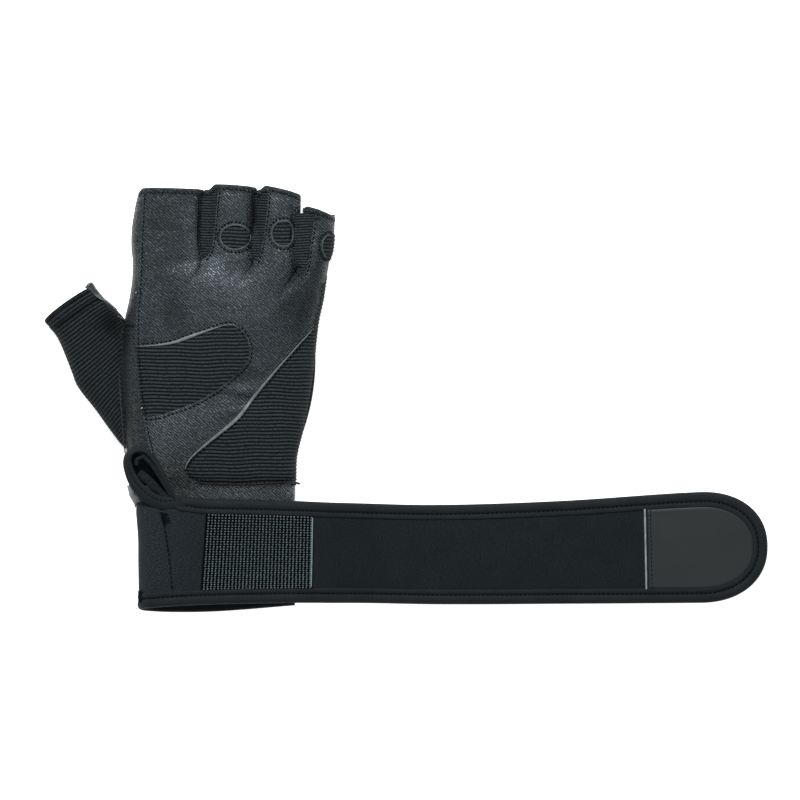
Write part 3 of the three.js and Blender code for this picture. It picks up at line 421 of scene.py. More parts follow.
def palm_height(x, y):
    share = height_share(y)
    radius = mix(WRIST_HEIGHT / 2, PALM_ROUND * HAND_WIDTH, share)
    power = mix(2, PALM_POWER, share)
    left = rounding(x - hand_edge("left", y), radius, power)
    right = rounding(hand_edge("right", y) - x, radius, power)
    full = seam_height(y) - floor_at(y)
    return seam_height(y) - full * left * right * grooves(x, y, True)


STRIP_SAG = 1.3  # of the cloth that spans two fingers


def strip_edge(each, side, y):
    line = plan(each[side])
    line = line[np.argsort(line[:, 1])]
    return read_table(line[:, 1], line[:, 0], y)


def strip_height(x, y):
    """The back's height, with the cloth between two fingers spanning their sides."""
    z = back_height(x, y)
    for each in FOURCHETTES:
        left, right = strip_edge(each, "left", y), strip_edge(each, "right", y)
        share = (x - left) / np.maximum(right - left, 0.1)
        inside = (share > 0) & (share < 1) & (y > station_y(each["left"][-1][1])) & (y < each["open"])
        span = mix(back_height(left, y), back_height(right, y), share) - STRIP_SAG * 4 * share * (1 - share)
        z = np.where(inside, np.maximum(z, span), z)
    return z


def slit_half(web, y):
    """Half of the free space that shows between two fingers."""
    return 0.06 + web["spread"] * HAND_WIDTH * smooth_step(station_y(PART_FROM), station_y(PART_TO), y)


# The thumb's surface
thumb_turn = math.radians(THUMB_BASE["turn"])
THUMB_ALONG = np.array([math.cos(thumb_turn), math.sin(thumb_turn)])
THUMB_ACROSS = np.array([THUMB_ALONG[1], -THUMB_ALONG[0]])
thumb_base = plan([(THUMB_BASE["x"], THUMB_BASE["v"])])[0]
thumb_z = THUMB_MIDDLE * THUMB_HEIGHT


def thumb_value(column, along):
    i = THUMB_COLUMNS.index(column)
    unit = THUMB_HEIGHT if column == "half" else THUMB_WIDTH
    return read_table(THUMB[:, 0], THUMB[:, i], np.asarray(along) / THUMB_LENGTH) * unit


def thumb_to_plan(across, along):
    across, along = np.asarray(across, float)[..., None], np.asarray(along, float)[..., None]
    return thumb_base + along * THUMB_ALONG + across * THUMB_ACROSS


def plan_to_thumb(points):
    p = np.asarray(points, float) - thumb_base
    return np.stack([p @ THUMB_ACROSS, p @ THUMB_ALONG], axis=-1)


WELT_IN = 0.9  # of the thumb's seam from the hand's edge
SEAM_PULL = 7.0  # over which the thumb comes down to its seam


def thumb_lift(across, along):
    low, high = thumb_value("low", along), thumb_value("high", along)
    radius = np.minimum(THUMB_ROUND * THUMB_HEIGHT, 0.46 * (high - low))
    return thumb_value("half", along) * rounding(across - low, radius) * rounding(high - across, radius)


def thumb_top(across, along):
    z = thumb_z + thumb_lift(across, along)
    p = thumb_to_plan(across, along)
    x, y = p[..., 0], p[..., 1]
    seam = hand_edge("left", y) + WELT_IN
    join = back_height(seam, y)
    share = smooth_step(-1.5, SEAM_PULL, seam - x)
    pulled = np.minimum(z, mix(np.minimum(join, z), z, share))
    return np.where(y > shoulder_start, pulled, z)


def thumb_bottom(across, along):
    return thumb_z - thumb_lift(across, along)


# Flat patterns
def densify(points, step=0.6, closed=True):
    points = np.asarray(points, float)
    if closed:
        points = np.vstack([points, points[:1]])
    out = []
    for a, b in zip(points[:-1], points[1:]):
        n = max(1, int(math.ceil(np.linalg.norm(b - a) / step)))
        out += [mix(a, b, k / n) for k in range(n)]
    if not closed:
        out.append(points[-1])
    return np.array(out)


def run_along(line):
    """Length of a line up to each of its points."""
    return np.concatenate([[0], np.cumsum(np.linalg.norm(np.diff(line, axis=0), axis=1))])


def rounded_line(points, step=0.6):
    """A smooth line through plan points."""
    points = np.asarray(points, float)
    chord = np.concatenate([[0], np.cumsum(np.linalg.norm(np.diff(points, axis=0), axis=1) ** 0.7)])
    fine = np.linspace(0, chord[-1], 40 * len(points))
    line = np.stack([read_table(chord, points[:, k], fine) for k in range(points.shape[1])], axis=1)
    return resample(line, step)


def resample(line, step):
    run = run_along(line)
    n = max(2, int(round(run[-1] / step)) + 1)
    at = np.linspace(0, run[-1], n)
    return np.stack([np.interp(at, run, line[:, k]) for k in range(line.shape[1])], axis=1)


def is_inside(points, polygon):
    x, y = points[:, 0], points[:, 1]
    result = np.zeros(len(points), bool)
    for (x0, y0), (x1, y1) in zip(polygon, np.roll(polygon, -1, axis=0)):
        if y0 == y1:
            continue
        crosses = (y0 > y) != (y1 > y)
        result ^= crosses & (x < x0 + (y - y0) * (x1 - x0) / (y1 - y0))
    return result


def edge_distance(points, polygons):
    """Distance of points to the outlines, and the place along the outline that is nearest."""
    best = np.full(len(points), 1e9)
    place = np.zeros(len(points))
    run = 0.0
    for polygon in polygons:
        for a, b in zip(polygon, np.roll(polygon, -1, axis=0)):
            d = b - a
            length = float(np.hypot(*d))
            if length < 1e-9:
                continue
            t = np.clip(((points - a) @ d) / (length * length), 0, 1)
            gap = np.hypot(points[:, 0] - a[0] - t * d[0], points[:, 1] - a[1] - t * d[1])
            nearer = gap < best
            best = np.where(nearer, gap, best)
            place = np.where(nearer, run + t * length, place)
            run += length
    return best, place


class Skin:
    """A surface in rows. Its pattern is flat: the run across a row, and the row."""

    def __init__(self, rows, low, high, height, to_plan, centre):
        self.low, self.high, self.height, self.to_plan = low, high, height, to_plan
        self.rows = rows
        self.shares = (1 - np.cos(np.linspace(0, math.pi, 801))) / 2
        a, b = low(rows)[:, None], high(rows)[:, None]
        q = a + (b - a) * self.shares
        z = height(q, np.broadcast_to(rows[:, None], q.shape))
        step = np.hypot(np.diff(q, axis=1), np.diff(z, axis=1))
        self.run = np.concatenate([np.zeros((len(rows), 1)), np.cumsum(step, axis=1)], axis=1)
        middle = (centre(rows) - a[:, 0]) / (b - a)[:, 0]
        self.run -= np.array([np.interp(m, self.shares, r) for m, r in zip(middle, self.run)])[:, None]

    def _between(self, value, row, forward):
        place = np.clip((row - self.rows[0]) / (self.rows[1] - self.rows[0]), 0, len(self.rows) - 1.001)
        i = place.astype(int)
        share = place - i
        out = np.zeros_like(value)
        for k in np.unique(i):
            here = i == k
            if forward:
                first, second = (np.interp(value[here], self.shares, self.run[n]) for n in (k, k + 1))
            else:
                first, second = (np.interp(value[here], self.run[n], self.shares) for n in (k, k + 1))
            out[here] = mix(first, second, share[here])
        return out

    def flat(self, points):
        """Pattern points of plan points, kept within the surface's edges."""
        q, row = points[:, 0], points[:, 1]
        low, high = self.low(row), self.high(row)
        share = np.clip((q - low) / (high - low), 0, 1)
        return np.stack([self._between(share, row, True), row], axis=1)

    def across(self, pattern):
        row = pattern[:, 1]
        share = self._between(pattern[:, 0], row, False)
        return mix(self.low(row), self.high(row), share)

    def point(self, pattern):
        q, row = self.across(pattern), pattern[:, 1]
        xy = self.to_plan(q, row)
        return np.column_stack([xy, self.height(q, row)])

    def normal(self, pattern, reach=0.25):
        step = np.array([reach, 0.0])
        along = np.array([0.0, reach])
        a = self.point(pattern + step) - self.point(pattern - step)
        b = self.point(pattern + along) - self.point(pattern - along)
        n = np.cross(a, b)
        size = np.linalg.norm(n, axis=1, keepdims=True)
        return n / np.maximum(size, 1e-9)


HAND_ROWS = np.arange(-1.0, 242.0, 0.5)
FINGER_ROWS = np.arange(172.0, 242.0, 0.5)
THUMB_ROWS = np.arange(-33.0, 64.0, 0.5)
hand_left, hand_middle, hand_right = (partial(hand_edge, column) for column in ("left", "two", "right"))
thumb_low, thumb_high = (partial(thumb_value, column) for column in ("low", "high"))


def hand_to_plan(across, along):
    return np.stack([across, along], axis=-1)


def thumb_middle(along):
    return thumb_low(along) * 0.5 + thumb_high(along) * 0.5


back_skin, palm_skin, strip_skin = (
    Skin(rows, hand_left, hand_right, height, hand_to_plan, hand_middle)
    for rows, height in ((HAND_ROWS, back_height), (HAND_ROWS, palm_height), (FINGER_ROWS, strip_height))
)
thumb_top_skin, thumb_bottom_skin = (
    Skin(THUMB_ROWS, thumb_low, thumb_high, height, thumb_to_plan, thumb_middle)
    for height in (thumb_top, thumb_bottom)
)


# Meshes
def make_piece(name, points, faces, look, replaces=(), uv=None, values=None):
    mesh = bpy.data.meshes.new(name)
    mesh.from_pydata(metres(points).tolist(), [], faces)
    solid = bmesh.new()
    solid.from_mesh(mesh)
    bmesh.ops.recalc_face_normals(solid, faces=solid.faces)
    solid.to_mesh(mesh)
    solid.free()
    mesh.polygons.foreach_set("use_smooth", np.ones(len(mesh.polygons), bool))
    corners = np.empty(len(mesh.loops), np.int32)
    mesh.loops.foreach_get("vertex_index", corners)
    if uv is not None:
        layer = mesh.uv_layers.new(name="UVMap")
        layer.data.foreach_set("uv", (np.asarray(uv)[corners] * MM).astype(np.float32).ravel())
    for key, value in (values or {}).items():
        attribute = mesh.attributes.new(key, "FLOAT", "POINT")
        attribute.data.foreach_set("value", np.asarray(value, np.float32))
    mesh.update()
    piece = bpy.data.objects.new(name, mesh)
    bpy.context.scene.collection.objects.link(piece)
    mesh.materials.append(look)
    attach(piece, "root")
    if replaces:
        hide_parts(*replaces)
    return piece


def cut_size(pattern):
    """Width and length of the smallest rectangle that holds a flat pattern."""
    best = None
    for turn in np.radians(np.arange(0, 90, 3)):
        along = pattern[:, 0] * math.cos(turn) + pattern[:, 1] * math.sin(turn)
        across = pattern[:, 1] * math.cos(turn) - pattern[:, 0] * math.sin(turn)
        size = sorted((float(np.ptp(along)), float(np.ptp(across))))
        if best is None or size[0] * size[1] < best[0] * best[1]:
            best = size
    return best


class Lump:
    """Points and faces of several forms that make one piece."""

    def __init__(self):
        self.points, self.faces, self.uv, self.count = [], [], [], 0
        self.values = {}
        self.cuts = []

    def add(self, points, faces, uv=None, values=None):
        points = np.asarray(points, float)
        self.points.append(points)
        self.faces += (np.asarray(faces) + self.count).tolist() if len(faces) else []
        self.uv.append(np.zeros((len(points), 2)) if uv is None else uv)
        for key, value in (values or {}).items():
            self.values.setdefault(key, []).append((self.count, value))
        self.count += len(points)
        return self

    def piece(self, name, look, slot, replaces=(), held="stretched"):
        values = {}
        for key, parts in self.values.items():
            whole = np.zeros(self.count)
            for start, value in parts:
                whole[start:start + len(value)] = value
            values[key] = whole
        piece = make_piece(
            name, np.vstack(self.points), self.faces, look, replaces, np.vstack(self.uv), values
        )
        return piece


def cut_pattern(skin, outline, holes=(), step=(0.9, 0.9), rings=(0.25, 0.6, 1.1), edge=0.6):
    """Triangles over a plan outline: pattern points, triangles, distance to the edge, place on it."""
    polygons = []
    for line in [outline, *holes]:
        p = skin.flat(densify(line, edge))
        apart = np.linalg.norm(p - np.roll(p, 1, axis=0), axis=1)
        polygons.append(p[apart > 0.12])
    low, high = polygons[0].min(0), polygons[0].max(0)
    rows = np.arange(math.floor(low[1] / step[1]), math.ceil(high[1] / step[1]) + 1) * step[1]
    across = np.arange(math.floor(low[0] / step[0]), math.ceil(high[0] / step[0]) + 1) * step[0]
    grid = np.stack(np.meshgrid(across, rows), axis=-1).reshape(-1, 2)

    def within(points):
        keep = is_inside(points, polygons[0])
        for hole in polygons[1:]:
            keep &= ~is_inside(points, hole)
        return keep

    chosen = []
    grid = grid[within(grid)]
    distance, _ = edge_distance(grid, polygons)
    chosen.append(grid[distance > (rings[-1] if rings else 0) + 0.3])
    for ring in rings:
        for p in polygons:
            t = np.roll(p, -1, axis=0) - np.roll(p, 1, axis=0)
            t /= np.maximum(np.linalg.norm(t, axis=1, keepdims=True), 1e-9)
            n = np.stack([-t[:, 1], t[:, 0]], axis=1)
            both = np.vstack([p + n * ring, p - n * ring])
            both = both[within(both)]
            if len(both):
                distance, _ = edge_distance(both, polygons)
                chosen.append(both[distance > 0.93 * ring])
    points = np.vstack([*polygons, *chosen])
    edges, count = [], 0
    for p in polygons:
        edges += [(count + i, count + (i + 1) % len(p)) for i in range(len(p))]
        count += len(p)
    found = delaunay_2d_cdt([tuple(p) for p in points], edges, [], 0, 1e-4)
    pattern = np.array([tuple(v) for v in found[0]])
    triangles = np.array([f for f in found[2] if len(f) == 3])
    triangles = triangles[within(pattern[triangles].mean(axis=1))]
    used, triangles = np.unique(triangles, return_inverse=True)
    pattern, triangles = pattern[used], triangles.reshape(-1, 3)
    a, b, c = (pattern[triangles[:, k]] for k in range(3))
    area = (b - a)[:, 0] * (c - a)[:, 1] - (b - a)[:, 1] * (c - a)[:, 0]
    triangles[area < 0] = triangles[area < 0][:, ::-1]
    triangles = triangles[np.abs(area) > 1e-7]
    distance, place = edge_distance(pattern, polygons)
    return pattern, triangles, distance, place


def closed_cloth(outer, inner, triangles, uv):
    """Two faces of a cloth and the rim between them."""
    edges = np.vstack([triangles[:, [0, 1]], triangles[:, [1, 2]], triangles[:, [2, 0]]])
    sides = dict.fromkeys((a, b) for a, b in edges.tolist())
    rim = [(a, b) for a, b in sides if (b, a) not in sides]
    n = len(outer)
    faces = triangles.tolist() + (triangles[:, ::-1] + n).tolist()
    faces += [[b, a, a + n, b + n] for a, b in rim]
    return np.vstack([outer, inner]), faces, np.vstack([uv, uv])


def cloth(lump, skin, outline, relief, thickness, holes=(), lift=0.0, side=1, **cut):
    """Adds a closed piece of leather or cloth over a plan outline to a lump."""
    pattern, triangles, distance, place = cut_pattern(skin, outline, holes, **cut)
    base = skin.point(pattern)
    normal = skin.normal(pattern) * side
    q = skin.across(pattern)
    height, values = relief(base, q, pattern[:, 1], distance, place)
    outer = base + normal * (lift + height)[:, None]
    inner = base + normal * (lift - thickness)
    if side < 0:
        triangles = triangles[:, ::-1]
    uv = np.stack([pattern[:, 0], pattern[:, 1]], axis=1)
    points, faces, uv = closed_cloth(outer, inner, triangles, uv)
    values = {key: np.concatenate([value, value]) for key, value in values.items()}
    lump.add(points, [f for f in faces if len(f) == 3], uv, values)
    start = lump.count - len(points)
    lump.faces += [[i + start for i in f] for f in faces if len(f) == 4]
    a, b, c = (pattern[triangles[:, k]] for k in range(3))
    area = np.abs((b - a)[:, 0] * (c - a)[:, 1] - (b - a)[:, 1] * (c - a)[:, 0]).sum() / 2
    lump.cuts.append((*cut_size(pattern), float(area)))
    return lump


def ring_faces(n, m, closed=True):
    """Faces between n rings of m points each."""
    i, j = np.meshgrid(np.arange(n if closed else n - 1), np.arange(m), indexing="ij")
    i2, j2 = (i + 1) % n, (j + 1) % m
    return np.stack([i * m + j, i * m + j2, i2 * m + j2, i2 * m + j], axis=-1).reshape(-1, 4)


def sweep(lump, path, axis_a, axis_b, profile, closed=False, scale=None):
    """Adds a profile carried along a line. axis_a and axis_b are the profile's two directions."""
    path, profile = np.asarray(path, float), np.asarray(profile, float)
    n, m = len(path), len(profile)
    size = np.ones((n, 2)) if scale is None else np.asarray(scale, float).reshape(n, -1) * np.ones((1, 2))
    a = profile[None, :, 0, None] * size[:, None, 0:1] * axis_a[:, None, :]
    b = profile[None, :, 1, None] * size[:, None, 1:2] * axis_b[:, None, :]
    points = (path[:, None, :] + a + b).reshape(-1, 3)
    uv = np.stack(np.meshgrid(run_along(path), run_along(profile), indexing="ij"), axis=-1).reshape(-1, 2)
    start = lump.count
    lump.add(points, ring_faces(n, m, closed), uv)
    if not closed:
        lump.faces.append([start + k for k in range(m)][::-1])
        lump.faces.append([start + (n - 1) * m + k for k in range(m)])
    return lump


def tangents(path, closed=False):
    path = np.asarray(path, float)
    if closed:
        t = np.roll(path, -1, axis=0) - np.roll(path, 1, axis=0)
    else:
        t = np.gradient(path, axis=0)
    return t / np.maximum(np.linalg.norm(t, axis=1, keepdims=True), 1e-9)


def unit(v):
    return v / np.maximum(np.linalg.norm(v, axis=-1, keepdims=True), 1e-9)


def bead(lump, path, normal, width, height, sides=10, closed=False, scale=None):
    """Adds a rounded cord along a line that lies on a surface."""
    t = tangents(path, closed)
    across = unit(np.cross(t, normal))
    up = unit(np.cross(across, t))
    angle = np.linspace(0, 2 * math.pi, sides, endpoint=False)
    profile = np.stack([np.cos(angle) * width / 2, np.sin(angle) * height / 2], axis=1)
    return sweep(lump, path, across, up, profile[::-1], closed, scale)


STITCH_PITCH = 2.5
STITCH_RISE = 0.05
STITCH_TURN = math.radians(9.0)
STITCH_SIDES = 7
STITCH_RINGS = [(-0.5, 0.0), (-0.44, 0.55), (-0.25, 0.92), (0.0, 1.0), (0.25, 0.92), (0.44, 0.55), (0.5, 0.0)]


def stitch_row(lump, path, normal, pitch=STITCH_PITCH, length=1.75, radius=0.36):
    """Adds a row of thread stitches along a line on a surface."""
    run = run_along(path)
    count = int(run[-1] // pitch)
    if count < 1:
        return lump

    def read(values, place):
        return np.stack([np.interp(place, run, values[:, k]) for k in range(3)], axis=1)

    at = (np.arange(count) + 0.5) * (run[-1] / count)
    middle = read(path, at)
    along = unit(read(path, at + 0.3 * pitch) - read(path, at - 0.3 * pitch))
    up = unit(read(normal, at))
    across = unit(np.cross(along, up))
    up = unit(np.cross(across, along))
    cos, sin = math.cos(STITCH_TURN), math.sin(STITCH_TURN)
    along, across = along * cos + across * sin, across * cos - along * sin
    rings = []
    for place, size in STITCH_RINGS:
        bow = STITCH_RISE + radius * 0.35 * (1 - (2 * place) ** 2)
        for a in np.linspace(0, 2 * math.pi, STITCH_SIDES, endpoint=False):
            rings.append(
                middle + along * (place * length) + across * (math.cos(a) * radius * size)
                + up * (bow + math.sin(a) * radius * 0.8 * size)
            )
    points = np.stack(rings, axis=1).reshape(-1, 3)
    return lump.add(points, tube_faces(count, len(STITCH_RINGS), STITCH_SIDES))


def tube_faces(count, rings, sides):
    """Faces of several short tubes whose points come ring by ring."""
    i, j = np.meshgrid(np.arange(rings - 1), np.arange(sides), indexing="ij")
    j2 = (j + 1) % sides
    quads = np.stack([i * sides + j, (i + 1) * sides + j, (i + 1) * sides + j2, i * sides + j2], axis=-1)
    starts = np.arange(count) * rings * sides
    return (quads.reshape(-1, 4)[None] + starts[:, None, None]).reshape(-1, 4)


# Looks
class Look:
    """A material with a principled shader and short ways to add nodes."""

    def __init__(self, name, **sockets):
        self.material = bpy.data.materials.new(name)
        self.material.use_nodes = True
        self.tree = self.material.node_tree
        self.shader = self.tree.nodes["Principled BSDF"]
        for key, value in sockets.items():
            self.shader.inputs[key.replace("_", " ")].default_value = value
        self.place = self.node("ShaderNodeTexCoord").outputs
        self.bumps = None

    def node(self, kind, inputs=None, **settings):
        node = self.tree.nodes.new(kind)
        for key, value in settings.items():
            setattr(node, key, value)
        for key, value in (inputs or {}).items():
            socket = node.inputs[key]
            if isinstance(value, bpy.types.NodeSocket):
                self.tree.links.new(value, socket)
            else:
                socket.default_value = value
        return node

    def mapped(self, source, turn=0.0, stretch=(1.0, 1.0, 1.0), **settings):
        values = {"Vector": self.place[source], "Rotation": (0.0, 0.0, math.radians(turn)), "Scale": stretch}
        return self.node("ShaderNodeMapping", values, **settings).outputs["Vector"]

    def stretched(self, source, turn, length):
        """Coordinates that draw a pattern out along a direction in degrees."""
        return self.mapped(source, turn, (length, 1.0, 1.0), vector_type="TEXTURE")

    def noise(self, vector, size, detail=3.0, roughness=0.55, distortion=0.0):
        """Noise whose grain is size metres."""
        values = {
            "Vector": vector, "Scale": 1 / size, "Detail": detail, "Roughness": roughness,
            "Distortion": distortion,
        }
        return self.node("ShaderNodeTexNoise", values).outputs["Fac"]

    def bands(self, vector, pitch, direction="X", distortion=0.0, detail_size=1.0):
        values = {
            "Vector": vector, "Scale": 2 * math.pi / (20 * pitch), "Distortion": distortion, "Detail": 1.0,
            "Detail Scale": detail_size,
        }
        return self.node("ShaderNodeTexWave", values, bands_direction=direction).outputs["Fac"]

    def value(self, name):
        return self.node("ShaderNodeAttribute", attribute_name=name).outputs["Fac"]

    def ramp(self, source, low, high, low_at=0.0, high_at=1.0):
        values = {"Value": source, "From Min": low_at, "From Max": high_at, "To Min": low, "To Max": high}
        return self.node("ShaderNodeMapRange", values).outputs["Result"]

    def blend_colours(self, share, first, second):
        node = self.node("ShaderNodeMix", data_type="RGBA")
        self.tree.links.new(share, node.inputs["Factor"])
        for key, colour in (("A", first), ("B", second)):
            socket = next(s for s in node.inputs if s.name == key and s.type == "RGBA")
            if isinstance(colour, bpy.types.NodeSocket):
                self.tree.links.new(colour, socket)
            else:
                socket.default_value = (*colour, 1.0)
        return next(s for s in node.outputs if s.type == "RGBA")

    def times(self, a, b):
        node = self.node("ShaderNodeMath", operation="MULTIPLY")
        for socket, value in zip(node.inputs, (a, b)):
            if isinstance(value, bpy.types.NodeSocket):
                self.tree.links.new(value, socket)
            else:
                socket.default_value = value
        return node.outputs["Value"]

    def colour(self, socket):
        self.tree.links.new(socket, self.shader.inputs["Base Color"])

    def rough(self, socket):
        self.tree.links.new(socket, self.shader.inputs["Roughness"])

    def bump(self, height, strength, depth):
        """Adds relief of a depth in metres."""
        values = {"Height": height, "Strength": strength, "Distance": depth}
        if self.bumps:
            values["Normal"] = self.bumps
        self.bumps = self.node("ShaderNodeBump", values).outputs["Normal"]
        for link in list(self.shader.inputs["Normal"].links):
            self.tree.links.remove(link)
        self.tree.links.new(self.bumps, self.shader.inputs["Normal"])


HIGHLIGHT_GAIN = (1.83, 1.87, 1.93)  # how much of its red, green and blue the leather gains where a highlight is painted; the larger blue gain is a painted bluish reflection


def leather_look(name, dark, light, rough=0.47, grain=1.0, painted_light_places=False):
    look = Look(name, Roughness=rough, Specular_IOR_Level=0.32, Specular_Tint=(0.9, 0.97, 1.0, 1.0))
    across = look.mapped("Object", turn=41)
    lines = look.bands(across, 0.00122, "Y", 4.0, 1.5)
    pebbles = look.noise(look.stretched("Object", turn=-41, length=1.5), 0.00085, 0.3, 0.5, 0.3)
    ridges = look.times(look.ramp(lines, 0.0, 1.0, 0.15, 0.7), look.ramp(pebbles, 0.1, 1.0, 0.36, 0.54))
    patches = look.noise(look.place["Object"], 0.022, 2.0)
    share = look.ramp(patches, 0.0, 1.0, 0.35, 0.65)
    # The painted light value paints highlights into the leather's colour, with a bluish painted reflection, and
    # paints shade where it is low. It also sets the specular level along with them.
    if painted_light_places:
        lit_share = look.value("painted_light")
        shaded = look.blend_colours(share, [c * 0.42 for c in dark], [c * 0.42 for c in light])
        highlit_dark, highlit_light = ([c * k for c, k in zip(colour, HIGHLIGHT_GAIN)] for colour in (dark, light))
        highlit = look.blend_colours(share, highlit_dark, highlit_light)
        top = look.blend_colours(look.ramp(lit_share, 0.0, 1.0, 0.42, 1.8), shaded, highlit)
        top = look.blend_colours(look.value("warm"), top, (0.046, 0.044, 0.033))
        look.tree.links.new(look.ramp(lit_share, 0.14, 0.5, 0.42, 1.8), look.shader.inputs["Specular IOR Level"])
    else:
        top = look.blend_colours(share, dark, light)
    deep = look.blend_colours(share, [c * 0.12 for c in dark], [c * 0.16 for c in dark])
    look.colour(look.blend_colours(look.ramp(ridges, 0.0, 1.0, 0.04, 0.6), deep, top))
    look.rough(look.ramp(ridges, rough + 0.15, rough - 0.1, 0.1, 0.8))
    look.bump(look.noise(look.place["Object"], 0.006, 3.0), 0.25 * grain, 0.0007)
    look.bump(ridges, 0.95 * grain, 0.00055)
    return look.material


def knit_look(name, dark, light):
    look = Look(name, Roughness=0.82, Sheen_Weight=0.02, Specular_IOR_Level=0.07, Sheen_Roughness=0.5)
    # The rib value darkens the colour in the ribs' grooves, a painted shade; on the thumb it also carries painted
    # shade at the crotch and under the hem.
    rib_and_painted_shade = look.value("rib_and_painted_shade")
    loops = look.noise(look.mapped("UV", stretch=(1.0, 0.45, 1.0)), 0.00055, 1.0, 0.5, 0.3)
    shade = look.times(look.ramp(rib_and_painted_shade, 0.0, 1.0, 0.22, 0.95), look.ramp(loops, 0.3, 1.35, 0.32, 0.68))
    look.colour(look.blend_colours(shade, dark, light))
    threads = look.bands(look.place["UV"], 0.00062, "X", 1.2, 2.0)
    look.bump(threads, 0.55, 0.0002)
    look.bump(look.noise(look.place["UV"], 0.0005, 2.0), 0.4, 0.00014)
    look.rough(look.ramp(threads, 0.7, 0.92))
    return look.material


PAINTED_HIGHLIGHT_REACH = (0.098, 0.142)  # metres along the band in which the painted highlight at its folded end fades away


def cloth_look(name, dark, light, size=0.0007, rough=0.85, relief=0.00012, sheen=0.02, pale=None):
    look = Look(name, Roughness=rough, Sheen_Weight=sheen, Specular_IOR_Level=0.1, Sheen_Roughness=0.5)
    patches = look.noise(look.place["Object"], 0.014, 3.0)
    fuzz = look.noise(look.place["Object"], size, 2.0)
    weave = look.noise(look.mapped("UV", stretch=(0.5, 1.0, 1.0)), size * 0.8, 1.0)
    body = look.blend_colours(look.ramp(patches, 0.0, 1.0, 0.3, 0.7), dark, light)
    # A painted highlight: the band is paler near its folded end, where the light falls on it.
    if pale:
        along = look.node("ShaderNodeSeparateXYZ", {"Vector": look.place["UV"]}).outputs["X"]
        body = look.blend_colours(look.ramp(along, 1.0, 0.0, *PAINTED_HIGHLIGHT_REACH), body, pale)
    look.colour(look.blend_colours(look.ramp(weave, 0.0, 1.0, 0.3, 0.62), [c * 0.45 for c in dark], body))
    look.bump(look.bands(look.place["UV"], size * 0.9, "Y", 1.5, 2.0), 0.4, relief)
    look.bump(fuzz, 0.5, relief)
    look.rough(look.ramp(fuzz, rough - 0.08, min(1.0, rough + 0.08), 0.3, 0.7))
    return look.material


def binding_look():
    look = Look("binding", Roughness=0.78, Sheen_Weight=0.02, Specular_IOR_Level=0.14, Sheen_Roughness=0.5)
    ribs = look.bands(look.place["UV"], 0.0011, "X", 0.6, 1.0)
    patches = look.noise(look.place["Object"], 0.012, 3.0)
    share = look.ramp(patches, 0.0, 1.0, 0.3, 0.7)
    look.colour(look.blend_colours(share, (0.0075, 0.0096, 0.0112), (0.0105, 0.013, 0.015)))
    look.bump(ribs, 0.4, 0.00012)
    look.bump(look.noise(look.place["Object"], 0.00045, 2.0), 0.35, 0.0001)
    look.rough(look.ramp(ribs, 0.72, 0.86))
    return look.material


def plain_look(name, dark, light, rough, size=0.0012, relief=0.00006, spread=0.006, shine=0.5):
    look = Look(name, Roughness=rough, Specular_IOR_Level=shine)
    share = look.ramp(look.noise(look.place["Object"], spread, 3.0), 0.0, 1.0, 0.3, 0.7)
    look.colour(look.blend_colours(share, dark, light))
    fine = look.noise(look.place["Object"], size, 3.0)
    look.rough(look.ramp(fine, rough - 0.06, rough + 0.08, 0.3, 0.7))
    look.bump(fine, 0.4, relief)
    return look.material


LEATHER = leather_look("leather", (0.044, 0.0515, 0.055), (0.064, 0.0745, 0.079), painted_light_places=True)
DARK_LEATHER = leather_look("leather_dark", (0.0018, 0.0022, 0.0025), (0.004, 0.0048, 0.005), 0.55, 0.5)
WARM_LEATHER = leather_look("leather_warm", (0.014, 0.0158, 0.0152), (0.0195, 0.0215, 0.0205), grain=0.55)
RIBBED = knit_look("ribbed_knit", (0.0016, 0.002, 0.0023), (0.037, 0.0435, 0.046))
THUMB_RIBBED = knit_look("ribbed_knit_thumb", (0.0012, 0.0015, 0.0018), (0.029, 0.034, 0.037))
# The pale colour paints a highlight on the band's folded end.
NEOPRENE = cloth_look(
    "neoprene", (0.0088, 0.0118, 0.0138), (0.0112, 0.0146, 0.0168), pale=(0.0205, 0.0258, 0.0302),
)
FOLDED_NEOPRENE = cloth_look("neoprene_fold", (0.0092, 0.012, 0.014), (0.0125, 0.0156, 0.0178))
BINDING = binding_look()
THREAD = plain_look(
    "thread", (0.0012, 0.0014, 0.0017), (0.004, 0.0047, 0.005), 0.6, 0.0005, 0.00004, 0.002, 0.04,
)
GREY_THREAD = plain_look(
    "thread_grey", (0.025, 0.03, 0.031), (0.055, 0.062, 0.063), 0.6, 0.0005, 0.00004, 0.001, 0.2,
)
PALE_THREAD = plain_look("thread_pale", (0.35, 0.36, 0.34), (0.6, 0.61, 0.58), 0.6, 0.0005, 0.00004, 0.001)
HOOK_BASE = plain_look("hook_base", (0.0008, 0.001, 0.0012), (0.002, 0.0025, 0.0028), 0.8, 0.0006, shine=0.02)
HOOKS = plain_look("hooks", (0.1, 0.15, 0.155), (0.21, 0.28, 0.29), 0.4, 0.0004, 0.00003, 0.0016)
# Near black, to paint the shade inside the pleat's hollow
HOLLOW_SHADE = plain_look("hollow_shade", (0.001, 0.0013, 0.0015), (0.002, 0.0025, 0.003), 0.9, 0.0006, shine=0.02)
TAB = plain_look("tab", (0.0105, 0.0125, 0.0132), (0.0135, 0.016, 0.0168), 0.5, 0.0012, 0.00002, 0.03, 0.3)
RIM_LEATHER = plain_look(
    "leather_rim", (0.024, 0.028, 0.0285), (0.042, 0.0475, 0.0475), 0.45, 0.0009, 0.00008, 0.003, 0.35,
)
# A light leather that paints the highlight on folded edges and on the wrist corner
HIGHLIT_EDGE_LEATHER = plain_look(
    "leather_edge_highlit", (0.068, 0.075, 0.074), (0.15, 0.16, 0.156), 0.45, 0.0009, 0.00008, 0.004, 0.35,
)
